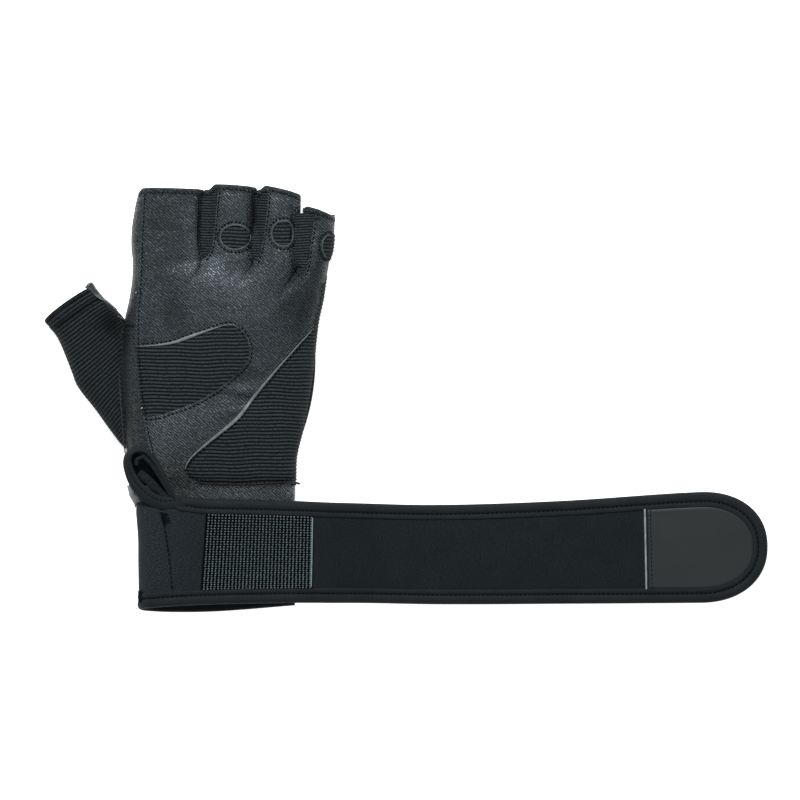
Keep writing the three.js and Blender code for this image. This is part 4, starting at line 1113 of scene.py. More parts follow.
# A light leather that paints the highlight along the thumb's folded edge
HIGHLIT_FOLD_LEATHER = plain_look(
    "leather_fold_highlit", (0.06, 0.066, 0.065), (0.13, 0.138, 0.135), 0.4, 0.0009, 0.00008, 0.004, 0.4,
)
PIPING = plain_look("piping", (0.16, 0.17, 0.165), (0.27, 0.28, 0.27), 0.5, 0.0006, 0.00003, 0.003)

# Reliefs
RIB_PITCH = 2.0
CREASES = [
    # across, along, half length, half width in millimetres, degrees, depth
    (-27.0, 191.5, 11.0, 1.3, -2, 0.42),
    (-27.5, 187.6, 12.5, 2.6, -2, -0.22),
    (-30.5, 164.0, 13.0, 4.0, 86, 0.55),
    (4.0, 116.5, 14.0, 1.4, -4, 0.75),
    (3.0, 120.5, 13.0, 2.2, -3, -0.4),
    (3.0, 110.0, 14.0, 1.6, 6, 0.3),
    (8.5, 195.0, 6.0, 4.0, 20, 0.55),
    (-14.0, 176.0, 20.0, 5.0, -30, -0.3),
    (18.0, 168.0, 22.0, 4.5, 52, 0.3),
    (-40.0, 178.0, 14.0, 2.2, 62, 0.22),
    (36.0, 176.0, 12.0, 2.4, 100, 0.3),
    (-20.0, 150.0, 18.0, 3.0, 12, 0.18),
    (-35.0, 208.0, 9.0, 1.4, 8, 0.22),
    (2.0, 206.0, 7.0, 1.2, 170, 0.2),
    (-46.0, 96.0, 12.0, 2.0, 80, 0.25),
    (-24.0, 92.0, 16.0, 2.0, 24, 0.26),
    (-36.0, 76.0, 10.0, 1.6, 8, 0.24),
]


def creases(x, y):
    total = 0.0
    for cx, cy, long, wide, turn, depth in CREASES:
        dx, dy = x - cx, y - cy
        total = total - depth * turned_bell(dx, dy, long, wide, turn, 0.5 * np.sin(dx / 3.3))
    slow = 0.1 * np.sin(x / 7.1 + 0.8 * np.sin(y / 9.0)) * np.sin(y / 8.3 + 1.1)
    return total + slow + 0.045 * np.sin(x / 2.3 + y / 3.1) * np.sin(y / 2.9 - x / 4.1)


def edge_roll(distance, depth=0.5, radius=0.75):
    return -depth * (1 - rounding(distance, radius))


def painted_light_at(x, y):
    """How bright the leather is painted, as a share of its own colour: painted highlights above one, painted shade
    below one.
    """
    total = 0.0
    for px, py, long, wide, turn, amount in PAINTED_LIGHT:
        cx, cy = pixel(px, py)
        dx, dy = (x - cx) / PICTURE_SCALE, (y - cy) / PICTURE_SCALE
        total = total + amount * turned_bell(dx, dy, long, wide, turn)
    return np.exp(total)


def leather_relief(base, q, row, distance, place):
    puckers = 0.08 * np.sin(2 * math.pi * place / 3.1 + np.sin(place / 9)) * bell(distance - 2.8, 1.6)
    sewn = -0.34 * bell(distance - 1.75, 0.6)
    folds = creases(base[:, 0], base[:, 1]) * smooth_step(0, 4, distance)
    rise = edge_roll(distance) + sewn + puckers + folds
    cx, cy = pixel(*WARM_PLACE)
    apart = np.hypot(base[:, 0] - cx, base[:, 1] - cy) / WARM_REACH
    # The first value paints highlights and shade on the leather; the second is a warm tinge of its own colour.
    return rise, {"painted_light": painted_light_at(base[:, 0], base[:, 1]), "warm": 0.75 * np.exp(-apart * apart)}


def ribs_of(place):
    part = np.mod(place / RIB_PITCH, 1.0)
    return 1 - np.abs(2 * part - 1) ** 1.35


def knit_relief(base, q, row, distance, place):
    x, y = base[:, 0], base[:, 1]
    wave = 0.35 * np.sin(x / 9.0 + y / 40) + 0.18 * np.sin(x / 3.7 + y / 11)
    rib_and_painted_shade = ribs_of(y + wave)
    swell = 0.45 * smooth_step(0, 7, distance)
    pull = 0.1 * np.sin(2 * math.pi * place / 2.6) * bell(distance - 2.0, 1.6)
    side = 1.3 * (1 - smooth_step(0.3, 4.5, hand_edge("right", y) - x))
    return 0.5 * rib_and_painted_shade + swell * (1 - side / 1.3) + pull + side, {"rib_and_painted_shade": rib_and_painted_shade}


def narrow_relief(base, q, row, distance, place):
    rib_and_painted_shade = ribs_of((base[:, 1] + 0.2 * np.sin(q / 2.5)) * RIB_PITCH / 1.5)
    return 0.34 * rib_and_painted_shade + 0.1 * smooth_step(0, 3, distance), {"rib_and_painted_shade": rib_and_painted_shade}


THUMB_SHADE = (113, 322)  # middle of the thumb's dark place, in the picture


def thumb_relief(base, q, row, distance, place):
    lean = np.tan(np.radians(13.5 * (1 - smooth_step(-8, 52, row))))
    rib_and_painted_shade = ribs_of(row - q * lean + 0.25 * np.sin(q / 6.0 + row / 15))
    cuff = 0.4 * smooth_step(50.0, 51.5, row) - 0.2 * bell(row - 50.2, 0.9)
    crotch = plan_to_thumb(np.array([pixel(*THUMB_SHADE)]))[0]
    shade = 1 - 0.6 * bell(q - crotch[0], 7.5) * bell(row - crotch[1], 8.5)
    # The value darkens the ribs' grooves, the crotch and a line under the hem: painted shade.
    return 0.5 * rib_and_painted_shade + cuff, {"rib_and_painted_shade": shade * rib_and_painted_shade * (1 - 0.5 * bell(row - 50.2, 1.2))}


def plain_relief(base, q, row, distance, place):
    return edge_roll(distance) - 0.2 * bell(distance - 1.75, 0.55), {}


def no_relief(base, q, row, distance, place):
    return np.zeros(len(base)), {}


# Outlines of the hand's panels
def hem_y(finger, side, back):
    return BODY_LENGTH + finger["end_" + side] * FINGER_LENGTH - back


TIP_UNDER = HEM_WIDTH - 1.2  # that the leather ends short of the fingers' edges, under the hems
CORNERS = {
    "index": (0.0, 2.4, 1.9), "middle": (1.8, 6.0, 3.0), "ring": (0.2, 4.6, 3.0), "little": (0.0, 2.0, 1.8),
}
BEYOND = 6.0  # that an outline runs out over the hand's sides
CLOTH_UNDER = 1.8  # that the ribbed cloth runs on under the leather

side_seam = rounded_line(plan(SIDE_SEAM))
back_insert = densify(rounded_line(plan(BACK_INSERT_TOP)), closed=False)
ulnar_insert = densify(rounded_line(plan(ULNAR_DIAGONAL)), closed=False)


def seam_x(y, shift=0.0):
    order = side_seam[np.argsort(side_seam[:, 1])]
    return np.interp(y, order[:, 1], order[:, 0]) + shift


def tips_outline(back):
    """The fingers' ends from the little finger to the index finger."""
    out = []
    for finger in FINGERS[::-1]:
        yb, ya = hem_y(finger, "to", back), hem_y(finger, "from", back)
        xb, xa = float(hand_edge(finger["to"], yb)), float(hand_edge(finger["from"], ya))
        out += [(xb + (BEYOND if finger["to"] == "right" else 0), yb)]
        out += [(xa - (BEYOND if finger["from"] == "left" else 0), ya)]
    return out


def fourchette_outline(each, grow=0.0):
    left = rounded_line(plan(each["left"]))
    right = rounded_line(plan(each["right"]))
    before, after = FINGERS[each["before"]], FINGERS[each["after"]]
    if not grow:
        return np.vstack([left, right[1:]])
    y_right = min(hem_y(after, "from", TIP_UNDER), each["open"])
    after_y = hem_y(after, "from", TIP_UNDER + CORNERS[after["name"]][2])
    y_left = min(hem_y(before, "to", TIP_UNDER), each["open"], after_y)
    left = left[left[:, 1] < y_left] - [grow, 0]
    right = right[right[:, 1] < y_right] + [grow, 0]
    v = left[-1] + [grow, 0]
    bottom = np.array([[v[0], v[1] - grow]])
    near = mix(left[0, 0], right[-1, 0], 0.45)
    return np.vstack([[(near, y_left), (left[0, 0], y_left)], left, bottom, right, [(right[-1, 0], y_right)]])


def oval(knuckle, grow=0.0, count=64):
    middle = plan([(knuckle["x"], knuckle["v"])])[0]
    angle = np.linspace(0, 2 * math.pi, count, endpoint=False)
    wide = knuckle["wide"] * KNUCKLE_WINDOW + grow
    high = knuckle["high"] * KNUCKLE_WINDOW + grow
    across = np.cos(angle)
    across = np.where(across > 0, across ** knuckle["square"] * knuckle["right"], across)
    return np.stack([middle[0] + wide * across, middle[1] + high * np.sin(angle)], axis=1)


def on_skin(skin, line, rise=0.0):
    """Points and normals of a surface along a plan line."""
    pattern = skin.flat(np.asarray(line, float))
    normal = skin.normal(pattern)
    return skin.point(pattern) + normal * rise, normal


def offset_line(line, distance, closed=False):
    t = tangents(np.column_stack([line, np.zeros(len(line))]), closed)[:, :2]
    return line + np.stack([-t[:, 1], t[:, 0]], axis=1) * distance


def inside_hand(line, margin=0.3):
    y = line[:, 1]
    return (line[:, 0] > hand_edge("left", y) + margin) & (line[:, 0] < hand_edge("right", y) - margin)


def longest_run(mask):
    """First and last place of the longest stretch where mask holds."""
    best, start = (0, 0), None
    for i, on in enumerate(list(mask) + [False]):
        if on and start is None:
            start = i
        if not on and start is not None:
            if i - start > best[1] - best[0]:
                best = (start, i)
            start = None
    return slice(*best)


# The hand's leather
LEATHER_THICK = 0.9
KNIT_SINK = -1.1
KNIT_THICK = 0.7
gusset_end = float(station_y(SIDE_SEAM[-1][1]))
seam_down = side_seam[np.argsort(-side_seam[:, 1])]
tips = tips_outline(TIP_UNDER)
seam_part = seam_down[(seam_down[:, 1] < tips[-1][1]) & (seam_down[:, 1] > gusset_end)]
back_outline = np.vstack([
    tips[:-1], [(seam_part[0, 0], tips[-1][1])], seam_part, [(-70, gusset_end)], [(-70, 0.6)], [(70, 0.6)],
])
holes = [back_insert, ulnar_insert]
holes += [fourchette_outline(each) for each in FOURCHETTES] + [oval(knuckle) for knuckle in KNUCKLES]
lump = cloth(Lump(), back_skin, back_outline, leather_relief, LEATHER_THICK, holes, step=(0.95, 0.95))
lump.piece("back_leather_panel", LEATHER, "leather", ["back_leather"])

cross_y = float(station_y(CROSS_SEAM))


def strip_outline(low, high):
    part = seam_down[(seam_down[:, 1] < high) & (seam_down[:, 1] > low)]
    right = [(seam_x(high, 0.5), high), *(part + [0.5, 0]).tolist(), (seam_x(low, 0.5), low)]
    return np.array([(-75.0, low), (-75.0, high), *right])


lump = cloth(Lump(), back_skin, strip_outline(cross_y, tips[-1][1]), plain_relief, LEATHER_THICK, lift=-0.2)
lump.piece("index_strip_panel", WARM_LEATHER, "leather", ["index_side_strip"])
strip = strip_outline(gusset_end + 0.1, cross_y + 0.3)
lump = cloth(Lump(), back_skin, strip, plain_relief, LEATHER_THICK, lift=-0.25)
lump.piece("gusset_panel", WARM_LEATHER, "leather", ["thumb_gusset"])

# The hand's ribbed cloth
ROW_STEP = RIB_PITCH / 6


def grown_outline(line, distance):
    """A closed outline moved outwards."""
    area = np.sum(line[:, 0] * np.roll(line[:, 1], -1) - np.roll(line[:, 0], -1) * line[:, 1])
    return offset_line(line, -distance if area > 0 else distance, closed=True)


for name, outline in (("back_insert", back_insert), ("ulnar_insert", ulnar_insert)):
    lump = Lump()
    cloth(lump, back_skin, grown_outline(outline, CLOTH_UNDER), knit_relief, KNIT_THICK, lift=KNIT_SINK,
          step=(1.0, ROW_STEP), rings=(0.4,))
    lump.piece(name + "_cloth", RIBBED, "ribbed_knit", [name])
for each in FOURCHETTES:
    lump = Lump()
    cloth(lump, strip_skin, fourchette_outline(each, 1.2), narrow_relief, KNIT_THICK, lift=KNIT_SINK + 0.15,
          step=(0.7, 0.25), rings=(), edge=0.4)
    name = "fourchette_" + each["name"]
    lump.piece(name + "_cloth", RIBBED, "ribbed_knit", [name])
for knuckle in KNUCKLES:
    lump = Lump()
    cloth(lump, back_skin, oval(knuckle, 1.3), knit_relief, KNIT_THICK, lift=KNIT_SINK + 0.25, step=(0.7, ROW_STEP),
          rings=())
    name = "knuckle_insert_" + knuckle["name"]
    lump.piece(name + "_cloth", RIBBED, "ribbed_knit", [name])


# The palm, with the fingers' undersides
def palm_outline():
    out = [(-80.0, 0.6)]
    for i, finger in enumerate(FINGERS):
        ya, yb = hem_y(finger, "from", TIP_UNDER), hem_y(finger, "to", TIP_UNDER)
        web_a, web_b = (WEBS[i - 1] if i else None), (WEBS[i] if i < 3 else None)
        xa = -80.0 if web_a is None else float(hand_edge(finger["from"], ya) + slit_half(web_a, ya))
        xb = 80.0 if web_b is None else float(hand_edge(finger["to"], yb) - slit_half(web_b, yb))
        start, reach, drop = CORNERS[finger["name"]]
        if web_a is not None:
            out += [(xa, ya - drop), (xa + start, ya - drop), (xa + reach, ya)]
        else:
            out += [(xa, ya)]
        out += [(xb, yb)]
        if web_b is None:
            continue
        start = float(station_y(web_b["web"])) + SLIT_START * FINGER_LENGTH
        down = np.linspace(yb, start, 24)[1:]
        after = FINGERS[i + 1]
        up = np.linspace(start, hem_y(after, "from", TIP_UNDER + CORNERS[after["name"]][2]), 24)[:-1]
        for sign, rows in ((-1, down), (1, up)):
            out += [(float(hand_edge(finger["to"], y) + sign * slit_half(web_b, y)), float(y)) for y in rows]
    return np.array(out + [(80.0, 0.6)])


lump = Lump()
cloth(
    lump, palm_skin, palm_outline(), plain_relief, LEATHER_THICK, side=-1, step=(1.8, 1.8), rings=(0.4, 1.1),
)
lump.piece("palm_panel", LEATHER, "leather", ["palm_leather"])
SIDE_ROLL = (94.0, 140.5)  # rows where the palm's edge shows beside the ribbed cloth
y = np.linspace(*SIDE_ROLL, 80)
fade = np.sin(np.linspace(0.06, math.pi - 0.06, 80)) ** 0.6
path = np.stack([hand_edge("right", y) - 0.2 + 0.75 * fade, y, seam_height(y) - 0.6], axis=1)
lump = Lump()
bead(lump, path, np.broadcast_to([0.2, 0.0, 1.0], path.shape), 2.2, 2.6, scale=np.stack([fade, fade], axis=1))
lump.piece("side_roll", DARK_LEATHER, "leather")

# Hems of the fingers
HEM_PROFILE = np.array([
    (-1.7, -0.6), (-1.62, -0.05), (-1.32, 0.17), (-0.98, 0.06), (-0.62, 0.24), (0.1, 0.38), (0.9, 0.36), (1.42, 0.14),
    (1.7, -0.35), (1.62, -0.9), (1.15, -1.22), (-1.2, -1.22), (-1.6, -0.98),
])
AXIAL = np.array([0.0, 1.0, 0.0])


def closed_resample(path, step):
    line = resample(np.vstack([path, path[:1]]), step)
    return line[:-1]


def finger_ring(index, back):
    finger = FINGERS[index]
    ya, yb = hem_y(finger, "from", back), hem_y(finger, "to", back)

    def touch(web, y):
        return float(slit_half(WEBS[web], y)) + (0.28 if web < 2 else 0.42)

    xa = float(hand_edge(finger["from"], ya)) + (touch(index - 1, ya) if index else 0.0)
    xb = float(hand_edge(finger["to"], yb)) - (touch(index, yb) if index < 3 else 0.0)
    t = (1 - np.cos(np.linspace(0, math.pi, 160))) / 2
    x, y = mix(xa, xb, t), mix(ya, yb, t)
    start, reach, drop = CORNERS[finger["name"]]
    y = y + 0.5 * np.sin(math.pi * t) * (1 if index else 0.6) - drop * (1 - smooth_step(start, reach, x - xa))
    top = np.stack([x, y, strip_height(x, y)], axis=1)
    bottom = np.stack([x, y, palm_height(x, y)], axis=1)
    return closed_resample(np.vstack([top, bottom[::-1]]), 0.7)


def hem(lump, threads, path, axial):
    t = tangents(path, closed=True)
    t = unit(t - axial * (t @ axial)[:, None])
    out = np.cross(t, np.broadcast_to(axial, t.shape))
    along = np.broadcast_to(axial, t.shape)
    run = np.arange(len(path))
    scale = np.stack([np.ones(len(path)), 1 + 0.1 * np.sin(run / 3.4) * np.sin(run / 7.7)], axis=1)
    sweep(lump, path, along, out, HEM_PROFILE, closed=True, scale=scale)
    stitched = np.vstack([path, path[:1]]) - 0.98 * axial + np.vstack([out, out[:1]]) * 0.1
    stitch_row(threads, stitched, np.vstack([out, out[:1]]), pitch=2.3, length=1.6, radius=0.22)


threads = Lump()
for index, finger in enumerate(FINGERS):
    lump = Lump()
    hem(lump, threads, finger_ring(index, HEM_WIDTH / 2), AXIAL)
    # The hems take one even level of painted light, on its shaded side.
    lump.values["painted_light"] = [(0, np.full(lump.count, 0.8))]
    name = "hem_" + finger["name"]
    lump.piece(name + "_turned", LEATHER, "leather", [name])

# Thumb
WRAP = 1.5


def thumb_hem_line(back):
    share = np.linspace(-1, 1, 24)
    tip = THUMB[-1]
    middle = (tip[1] + tip[2]) / 2 * THUMB_WIDTH
    across = middle + share * 0.7 * THUMB_WIDTH
    along = THUMB_LENGTH * (1 - 0.03 * share**2) - back
    return np.stack([across, along], axis=1)


def thumb_root(shift):
    """The thumb's seam with the hand, from the wrist side to the crotch, in the thumb's own plan."""
    y = np.linspace(84.5, 155.5, 60)
    return plan_to_thumb(np.stack([hand_edge("left", y) + shift, y], axis=1))


def thumb_wrap_line(back):
    along = np.linspace(26.0, THUMB_LENGTH + 4 - back, 40)
    width = WRAP * (0.45 + 0.55 * np.sin(np.clip((along - 22) / 36, 0, 1) * math.pi) ** 0.8)
    return np.stack([thumb_high(along) - width, along], axis=1)


root = thumb_root(WELT_IN + 0.9)
hem_line = thumb_hem_line(TIP_UNDER)
wrap_line = thumb_wrap_line(TIP_UNDER)


def hem_at(across):
    return np.interp(across, hem_line[:, 0], hem_line[:, 1])


wrap_line = wrap_line[wrap_line[:, 1] < hem_at(wrap_line[:, 0])]
wrap_top = np.array([[wrap_line[-1, 0], hem_at(wrap_line[-1, 0])]])
thumb_outline = np.vstack([hem_line[::-1], [(-40.0, root[0, 1])], root, [(40.0, root[-1, 1])]])
lump = Lump()
cloth(
    lump, thumb_top_skin, thumb_outline, thumb_relief, KNIT_THICK,
    lift=-0.45, step=(0.9, ROW_STEP), rings=(0.4,),
)
lump.piece("thumb_cloth", THUMB_RIBBED, "ribbed_knit", ["thumb_back"])

lump = Lump()
wrap_outline = np.vstack([
    wrap_line - [0.5, 0], wrap_top - [0.5, 0], [(40.0, float(hem_at(wrap_top[0, 0])) + 0.2)], [(40.0, 24.0)],
])
cloth(lump, thumb_top_skin, wrap_outline, plain_relief, 0.9, lift=0.35, step=(0.7, 0.9))
lump.piece("thumb_edge_wrap", DARK_LEATHER, "leather")
lump = cloth(
    Lump(), thumb_bottom_skin, thumb_outline, plain_relief, 0.9, side=-1, step=(1.6, 1.6), rings=(0.4, 1.1),
)
lump.piece("thumb_leather", LEATHER, "leather", ["thumb_palm"])


def thumb_ring(back):
    share = np.linspace(0, 1, 160)
    t = (1 - np.cos(share * math.pi)) / 2
    low, high = float(thumb_low(THUMB_LENGTH - back)), float(thumb_high(THUMB_LENGTH - back))
    across = mix(low, high, t)
    middle = (low + high) / 2
    along = THUMB_LENGTH * (1 - 0.03 * ((across - middle) / (0.7 * THUMB_WIDTH)) ** 2) - back
    lift = thumb_lift(across, along)
    xy = thumb_to_plan(across, along)
    top = np.column_stack([xy, thumb_z + lift])
    bottom = np.column_stack([xy, thumb_z - lift])
    return closed_resample(np.vstack([top, bottom[::-1]]), 0.7)


lump = Lump()
hem(lump, threads, thumb_ring(HEM_WIDTH / 2), np.array([*THUMB_ALONG, 0.0]))
lump.values["rib_and_painted_shade"] = [(0, np.tile(0.75 * ribs_of(HEM_PROFILE[:, 0] + 0.6), len(thumb_ring(HEM_WIDTH / 2))))]
lump.piece("thumb_hem_turned", THUMB_RIBBED, "ribbed_knit", ["thumb_hem"])
EAR = [
    (86.0, 288.2), (88.0, 284.6), (90.6, 282.2), (93.4, 284.6), (96.2, 289.4), (99.6, 293.6), (102.4, 296.8),
    (99.8, 299.2), (95.8, 296.2), (92.0, 291.9), (88.6, 289.7),
]
EAR_RIDGES = [
    [(88.3, 287.6), (90.4, 284.4), (92.6, 286.4), (95.2, 290.8), (98.2, 294.6)],
    [(94.4, 294.6), (97.4, 298.0), (101.4, 300.6), (106.6, 303.0), (111.2, 306.8), (116.2, 311.0)],
    [(117.8, 317.4), (121.4, 319.4), (125.4, 322.8)],
]


def thumb_line(line, rise):
    """Points and normals on the thumb along a line in the picture."""
    line = rounded_line(np.array([pixel(*p) for p in line]), 0.5)
    pattern = thumb_top_skin.flat(plan_to_thumb(line))
    normal = thumb_top_skin.normal(pattern)
    return thumb_top_skin.point(pattern) + normal * rise, normal


lump = Lump()
cloth(lump, thumb_top_skin, plan_to_thumb(np.array([pixel(*p) for p in EAR])), plain_relief, 0.5, lift=0.7,
      step=(0.6, 0.6), rings=(0.3, 0.7))
lump.piece("thumb_ear", RIM_LEATHER, "leather")
# Ridges along the thumb's folded edge, in the light leather that paints their highlight
lump = Lump()
for line, width in zip(EAR_RIDGES, (1.4, 1.5, 0.9)):
    points, normal = thumb_line(line, 1.15)
    taper = np.sin(np.linspace(0.2, math.pi - 0.2, len(points)))[:, None] ** 0.6 * np.ones((1, 2))
    bead(lump, points, normal, width, 0.9, scale=taper)
lump.piece("thumb_edge_fold", HIGHLIT_FOLD_LEATHER, "leather")

# Welt of the thumb's seam
lump = Lump()
y = np.linspace(84, 154, 150)
for shift, size in ((WELT_IN - 0.9, 1.1), (WELT_IN + 0.9, 1.3)):
    x = hand_edge("left", y) + shift + 0.25 * np.sin(y / 8)
    seam = hand_edge("left", y) + WELT_IN
    z = back_height(seam, y) + 0.5 * shift - 0.2
    path = np.stack([x, y, z], axis=1)
    normal = np.broadcast_to(unit(np.array([-0.35, 0.0, 1.0])), path.shape)
    taper = np.sin(np.linspace(0.12, math.pi - 0.12, len(y)))[:, None] ** 0.3 * np.ones((1, 2))
    bead(lump, path, normal, size, 1.3, scale=taper)
    if shift < WELT_IN:
        lump.piece("thumb_welt_edge", RIM_LEATHER, "leather")
        lump = Lump()
    stitch_row(threads, path + normal * 0.62, normal, pitch=2.3, length=1.6, radius=0.17)
lump.piece("thumb_welt", WARM_LEATHER, "leather")

# Side seams of the hand
lump = Lump()
for column, low, high in (("left", 154.5, 229.5), ("left", 59.5, 84.5), ("right", 178.0, 214.0)):
    y = np.linspace(low, high, int((high - low) / 0.8))
    x = hand_edge(column, y)
    out = np.broadcast_to(np.array([-1.0 if column == "left" else 1.0, 0.0, 0.0]), (len(y), 3))
    path = np.stack([x, y, seam_height(y)], axis=1) - out * 0.45
    bead(lump, path, out, 1.5, 1.1)
lump.piece("side_seams", LEATHER, "leather")

# Seam threads on the back
def seam_stitches(line, distance, rise=-0.08, low=None, panel=False, **kinds):
    line = offset_line(np.asarray(line), distance)
    keep = inside_hand(line, 0.6)
    if panel:
        keep &= line[:, 0] > seam_x(line[:, 1], 0.6)
    if low is not None:
        keep &= line[:, 1] > low
    line = line[longest_run(keep)]
    if len(line) < 4:
        return
    points, normal = on_skin(back_skin, resample(line, 0.6), rise)
    stitch_row(threads, points, normal, **kinds)


seam_stitches(back_insert, 1.75, panel=True)
seam_stitches(ulnar_insert, 1.75)
seam_stitches(seam_part, 1.75, low=62)
for each in FOURCHETTES:
    for side, finger, end in (("left", each["before"], "to"), ("right", each["after"], "from")):
        line = rounded_line(plan(each[side]))
        seam_stitches(line[line[:, 1] < hem_y(FINGERS[finger], end, TIP_UNDER + 1.4)], -1.5)
for knuckle in KNUCKLES:
    ring = oval(knuckle, 2.0, 80)
    seam_stitches(np.vstack([ring, ring[:1]]), 0.0, pitch=2.1, length=1.5, radius=0.42)
cross = np.stack([np.linspace(-62, -53.6, 14), np.full(14, cross_y + 1.5)], axis=1)
seam_stitches(cross, 0.0, pitch=1.9, length=1.4)
for tick in (224.0, 202.2):
    line = np.stack([np.linspace(-62, -50.6, 16), np.full(16, tick)], axis=1)
    seam_stitches(line, 0.0, pitch=1.8, length=1.5, radius=0.2)
threads.piece("seam_threads", THREAD, "leather")
threads = Lump()
line = rounded_line(plan(FOURCHETTES[0]["left"]))
seam_stitches(line[line[:, 1] < 226], -2.2, 0.1, pitch=1.5, length=0.85, radius=0.28)
threads.piece("fourchette_threads", GREY_THREAD, "leather")

# A dark bead under the large ribbed panel that paints the shadow of its lower edge; its end stands out at the side
below = ulnar_insert[(ulnar_insert[:, 1] < 72) & (ulnar_insert[:, 0] > -20)]
below = below[inside_hand(below, 0.3)]
points, normal = on_skin(back_skin, resample(offset_line(below, 0.2), 0.6), -0.1)
lump = Lump()
bead(lump, points, normal, 1.3, 0.9)
tip = np.array([[33.0, 67.2, 12.5], [35.0, 67.3, 11.6], [36.6, 67.2, 11.0], [37.9, 66.7, 10.6]])
bead(lump, resample(tip, 0.5), np.broadcast_to([0.0, 0.0, 1.0], (len(resample(tip, 0.5)), 3)), 1.2, 1.0)
lump.piece("insert_shadow_bead", DARK_LEATHER, "leather")

# Folded edges in a light leather that paints their highlight, and piping
lump = Lump()


def highlit_edge(line, widths, distance=0.5, rise=-0.22, height=0.7):
    line = offset_line(np.asarray(line), distance)
    run = longest_run(inside_hand(line, 0.2))
    line = resample(line[run], 0.6)
    points, normal = on_skin(back_skin, line, rise)
    at = np.linspace(0, 1, len(line))
    width = np.interp(at, np.linspace(0, 1, len(widths)), widths)
    scale = np.stack([width, np.minimum(1.0, 0.4 + width / 2)], axis=1)
    bead(lump, points, normal, 1.0, height, scale=scale)


top_run = back_insert[(back_insert[:, 1] > 139) & (back_insert[:, 0] < 4)]
top_run = top_run[top_run[:, 0] > seam_x(top_run[:, 1], 0.4)]
highlit_edge(top_run, [0.5, 0.7, 1.4, 2.0, 1.8, 1.0, 0.5, 0.3], distance=0.4)
diagonal = ulnar_insert[(ulnar_insert[:, 1] > 75) & (ulnar_insert[:, 0] > -26)]
diagonal = diagonal[: int(np.argmin(diagonal[:, 0])) + 1]
highlit_edge(diagonal, [0.5, 0.6, 0.8, 1.1, 1.5, 1.9, 2.1, 2.0, 1.6, 1.1, 0.7], distance=0.5)
lump.piece("folded_edges_highlit", HIGHLIT_EDGE_LEATHER, "leather")
lump = Lump()
for knuckle in KNUCKLES:
    ring = oval(knuckle, 0.35, 90)
    keep = inside_hand(ring, 0.2)
    whole = bool(keep.all())
    if not whole:
        first = int(np.argmax(~keep))
        ring, keep = np.roll(ring, -first, axis=0), np.roll(keep, -first)
        ring = ring[longest_run(keep)]
    points, normal = on_skin(back_skin, ring, -0.12)
    bead(lump, points, normal, 0.95, 0.75, closed=whole)
lump.piece("knuckle_piping", RIM_LEATHER, "leather")

# The strap
STRAP_BODY = STRAP_LENGTH - TIP_REACH
END_BLEND = 20.0
BARE_SHARE = 0.86  # of the binding that leaves the band's upper edge at the thumb side, to form the pleat


def bare(s):
    """How far the band's upper edge is without its binding, 0 to 1."""
    return smooth_step(fold_start - 2, fold_start + 8, s) * (1 - smooth_step(fold_end + 3, fold_end + 13, s))


def band_edge(side, s):
    edge = strap_edge(side, s)
    return edge + 2.4 * bell(np.asarray(s) - fold_end + 8, 6.5) if side == "high" else edge


def band_inset(s, inset):
    return inset * (1 - BARE_SHARE * bare(s))


def strap_ring(inset, step=1.0):
    """Places along and across the strap on a loop that runs inset from its edges."""
    base = np.linspace(0, STRAP_BODY, int(STRAP_BODY / step))
    s = base + inset * np.clip(1 - base / END_BLEND, 0, 1)
    turn = np.linspace(0, math.pi / 2, 44)[1:]
    reach = TIP_REACH - inset
    tip_s = STRAP_BODY + reach * np.sin(turn) ** (2 / TIP_POWER)

    def half(at):
        return (band_edge("high", at) - band_edge("low", at)) / 2 - inset

    def middle(at):
        return (band_edge("high", at) + band_edge("low", at)) / 2

    narrow = np.cos(turn) ** (2 / TIP_POWER)
    narrow[-1] = 0.0
    low = np.stack([s, band_edge("low", s) + inset], axis=1)
    high = np.stack([s, band_edge("high", s) - band_inset(s, inset)], axis=1)
    tip_low = np.stack([tip_s, middle(tip_s) - half(tip_s) * narrow], axis=1)
    tip_high = np.stack([tip_s, middle(tip_s) + half(tip_s) * narrow], axis=1)
    end = np.linspace(1, -1, 50)[1:-1]
    end_s = np.full(len(end), float(inset))
    end_line = np.stack([end_s, middle(end_s) + end * half(end_s)], axis=1)
    return np.vstack([low, tip_low, tip_high[::-1][1:], high[::-1], end_line])


BINDING_PROFILE = [
    # inset from the edge, height over the strap's middle
    (8.35, 0.95), (8.42, 1.45), (8.2, 1.74), (7.7, 1.86), (6.9, 1.88), (6.25, 1.76), (5.85, 1.5), (5.5, 1.08),
    (5.15, 1.1), (4.8, 1.5), (4.3, 1.8), (3.5, 2.0), (2.5, 2.02), (1.6, 1.84), (0.85, 1.42), (0.3, 0.82), (0.0, 0.0),
]
FLOOR_SIDE = 1.66  # most that the strap reaches below its middle
GROOVE_INSET = 5.35
MIDDLE_INSET = 3.0  # of the binding's middle, whose length the weave follows


def binding():
    under = [(inset, -min(height, FLOOR_SIDE)) for inset, height in BINDING_PROFILE[-2::-1]]
    profile = BINDING_PROFILE + under
    rings = []
    for inset, height in profile:
        ring = strap_ring(inset)
        ripple = np.sin(ring[:, 0] / 13.1 + ring[:, 1] / 17)
        wave = 1 + 0.045 * np.sin(ring[:, 0] / 5.3 + np.sign(height)) * ripple
        level = height * (wave if height > 0 else 1.0)
        middle_z, down = strap_line(ring[:, 0])[1::2]
        level = np.minimum(level, np.where(down < 0, (middle_z - 0.04) / np.maximum(-down, 0.05), 9.0))
        rings.append(strap_point(ring[:, 0], ring[:, 1], level))
    points = np.stack(rings, axis=1)
    faces = ring_faces(*points.shape[:2])
    along, across = run_along(strap_ring(MIDDLE_INSET)), run_along(np.array(profile))
    uv = np.stack(np.meshgrid(along, across, indexing="ij"), axis=-1).reshape(-1, 2)
    return Lump().add(points.reshape(-1, 3), faces, uv)


binding().piece("binding_tape", BINDING, "binding", ["strap_binding"])


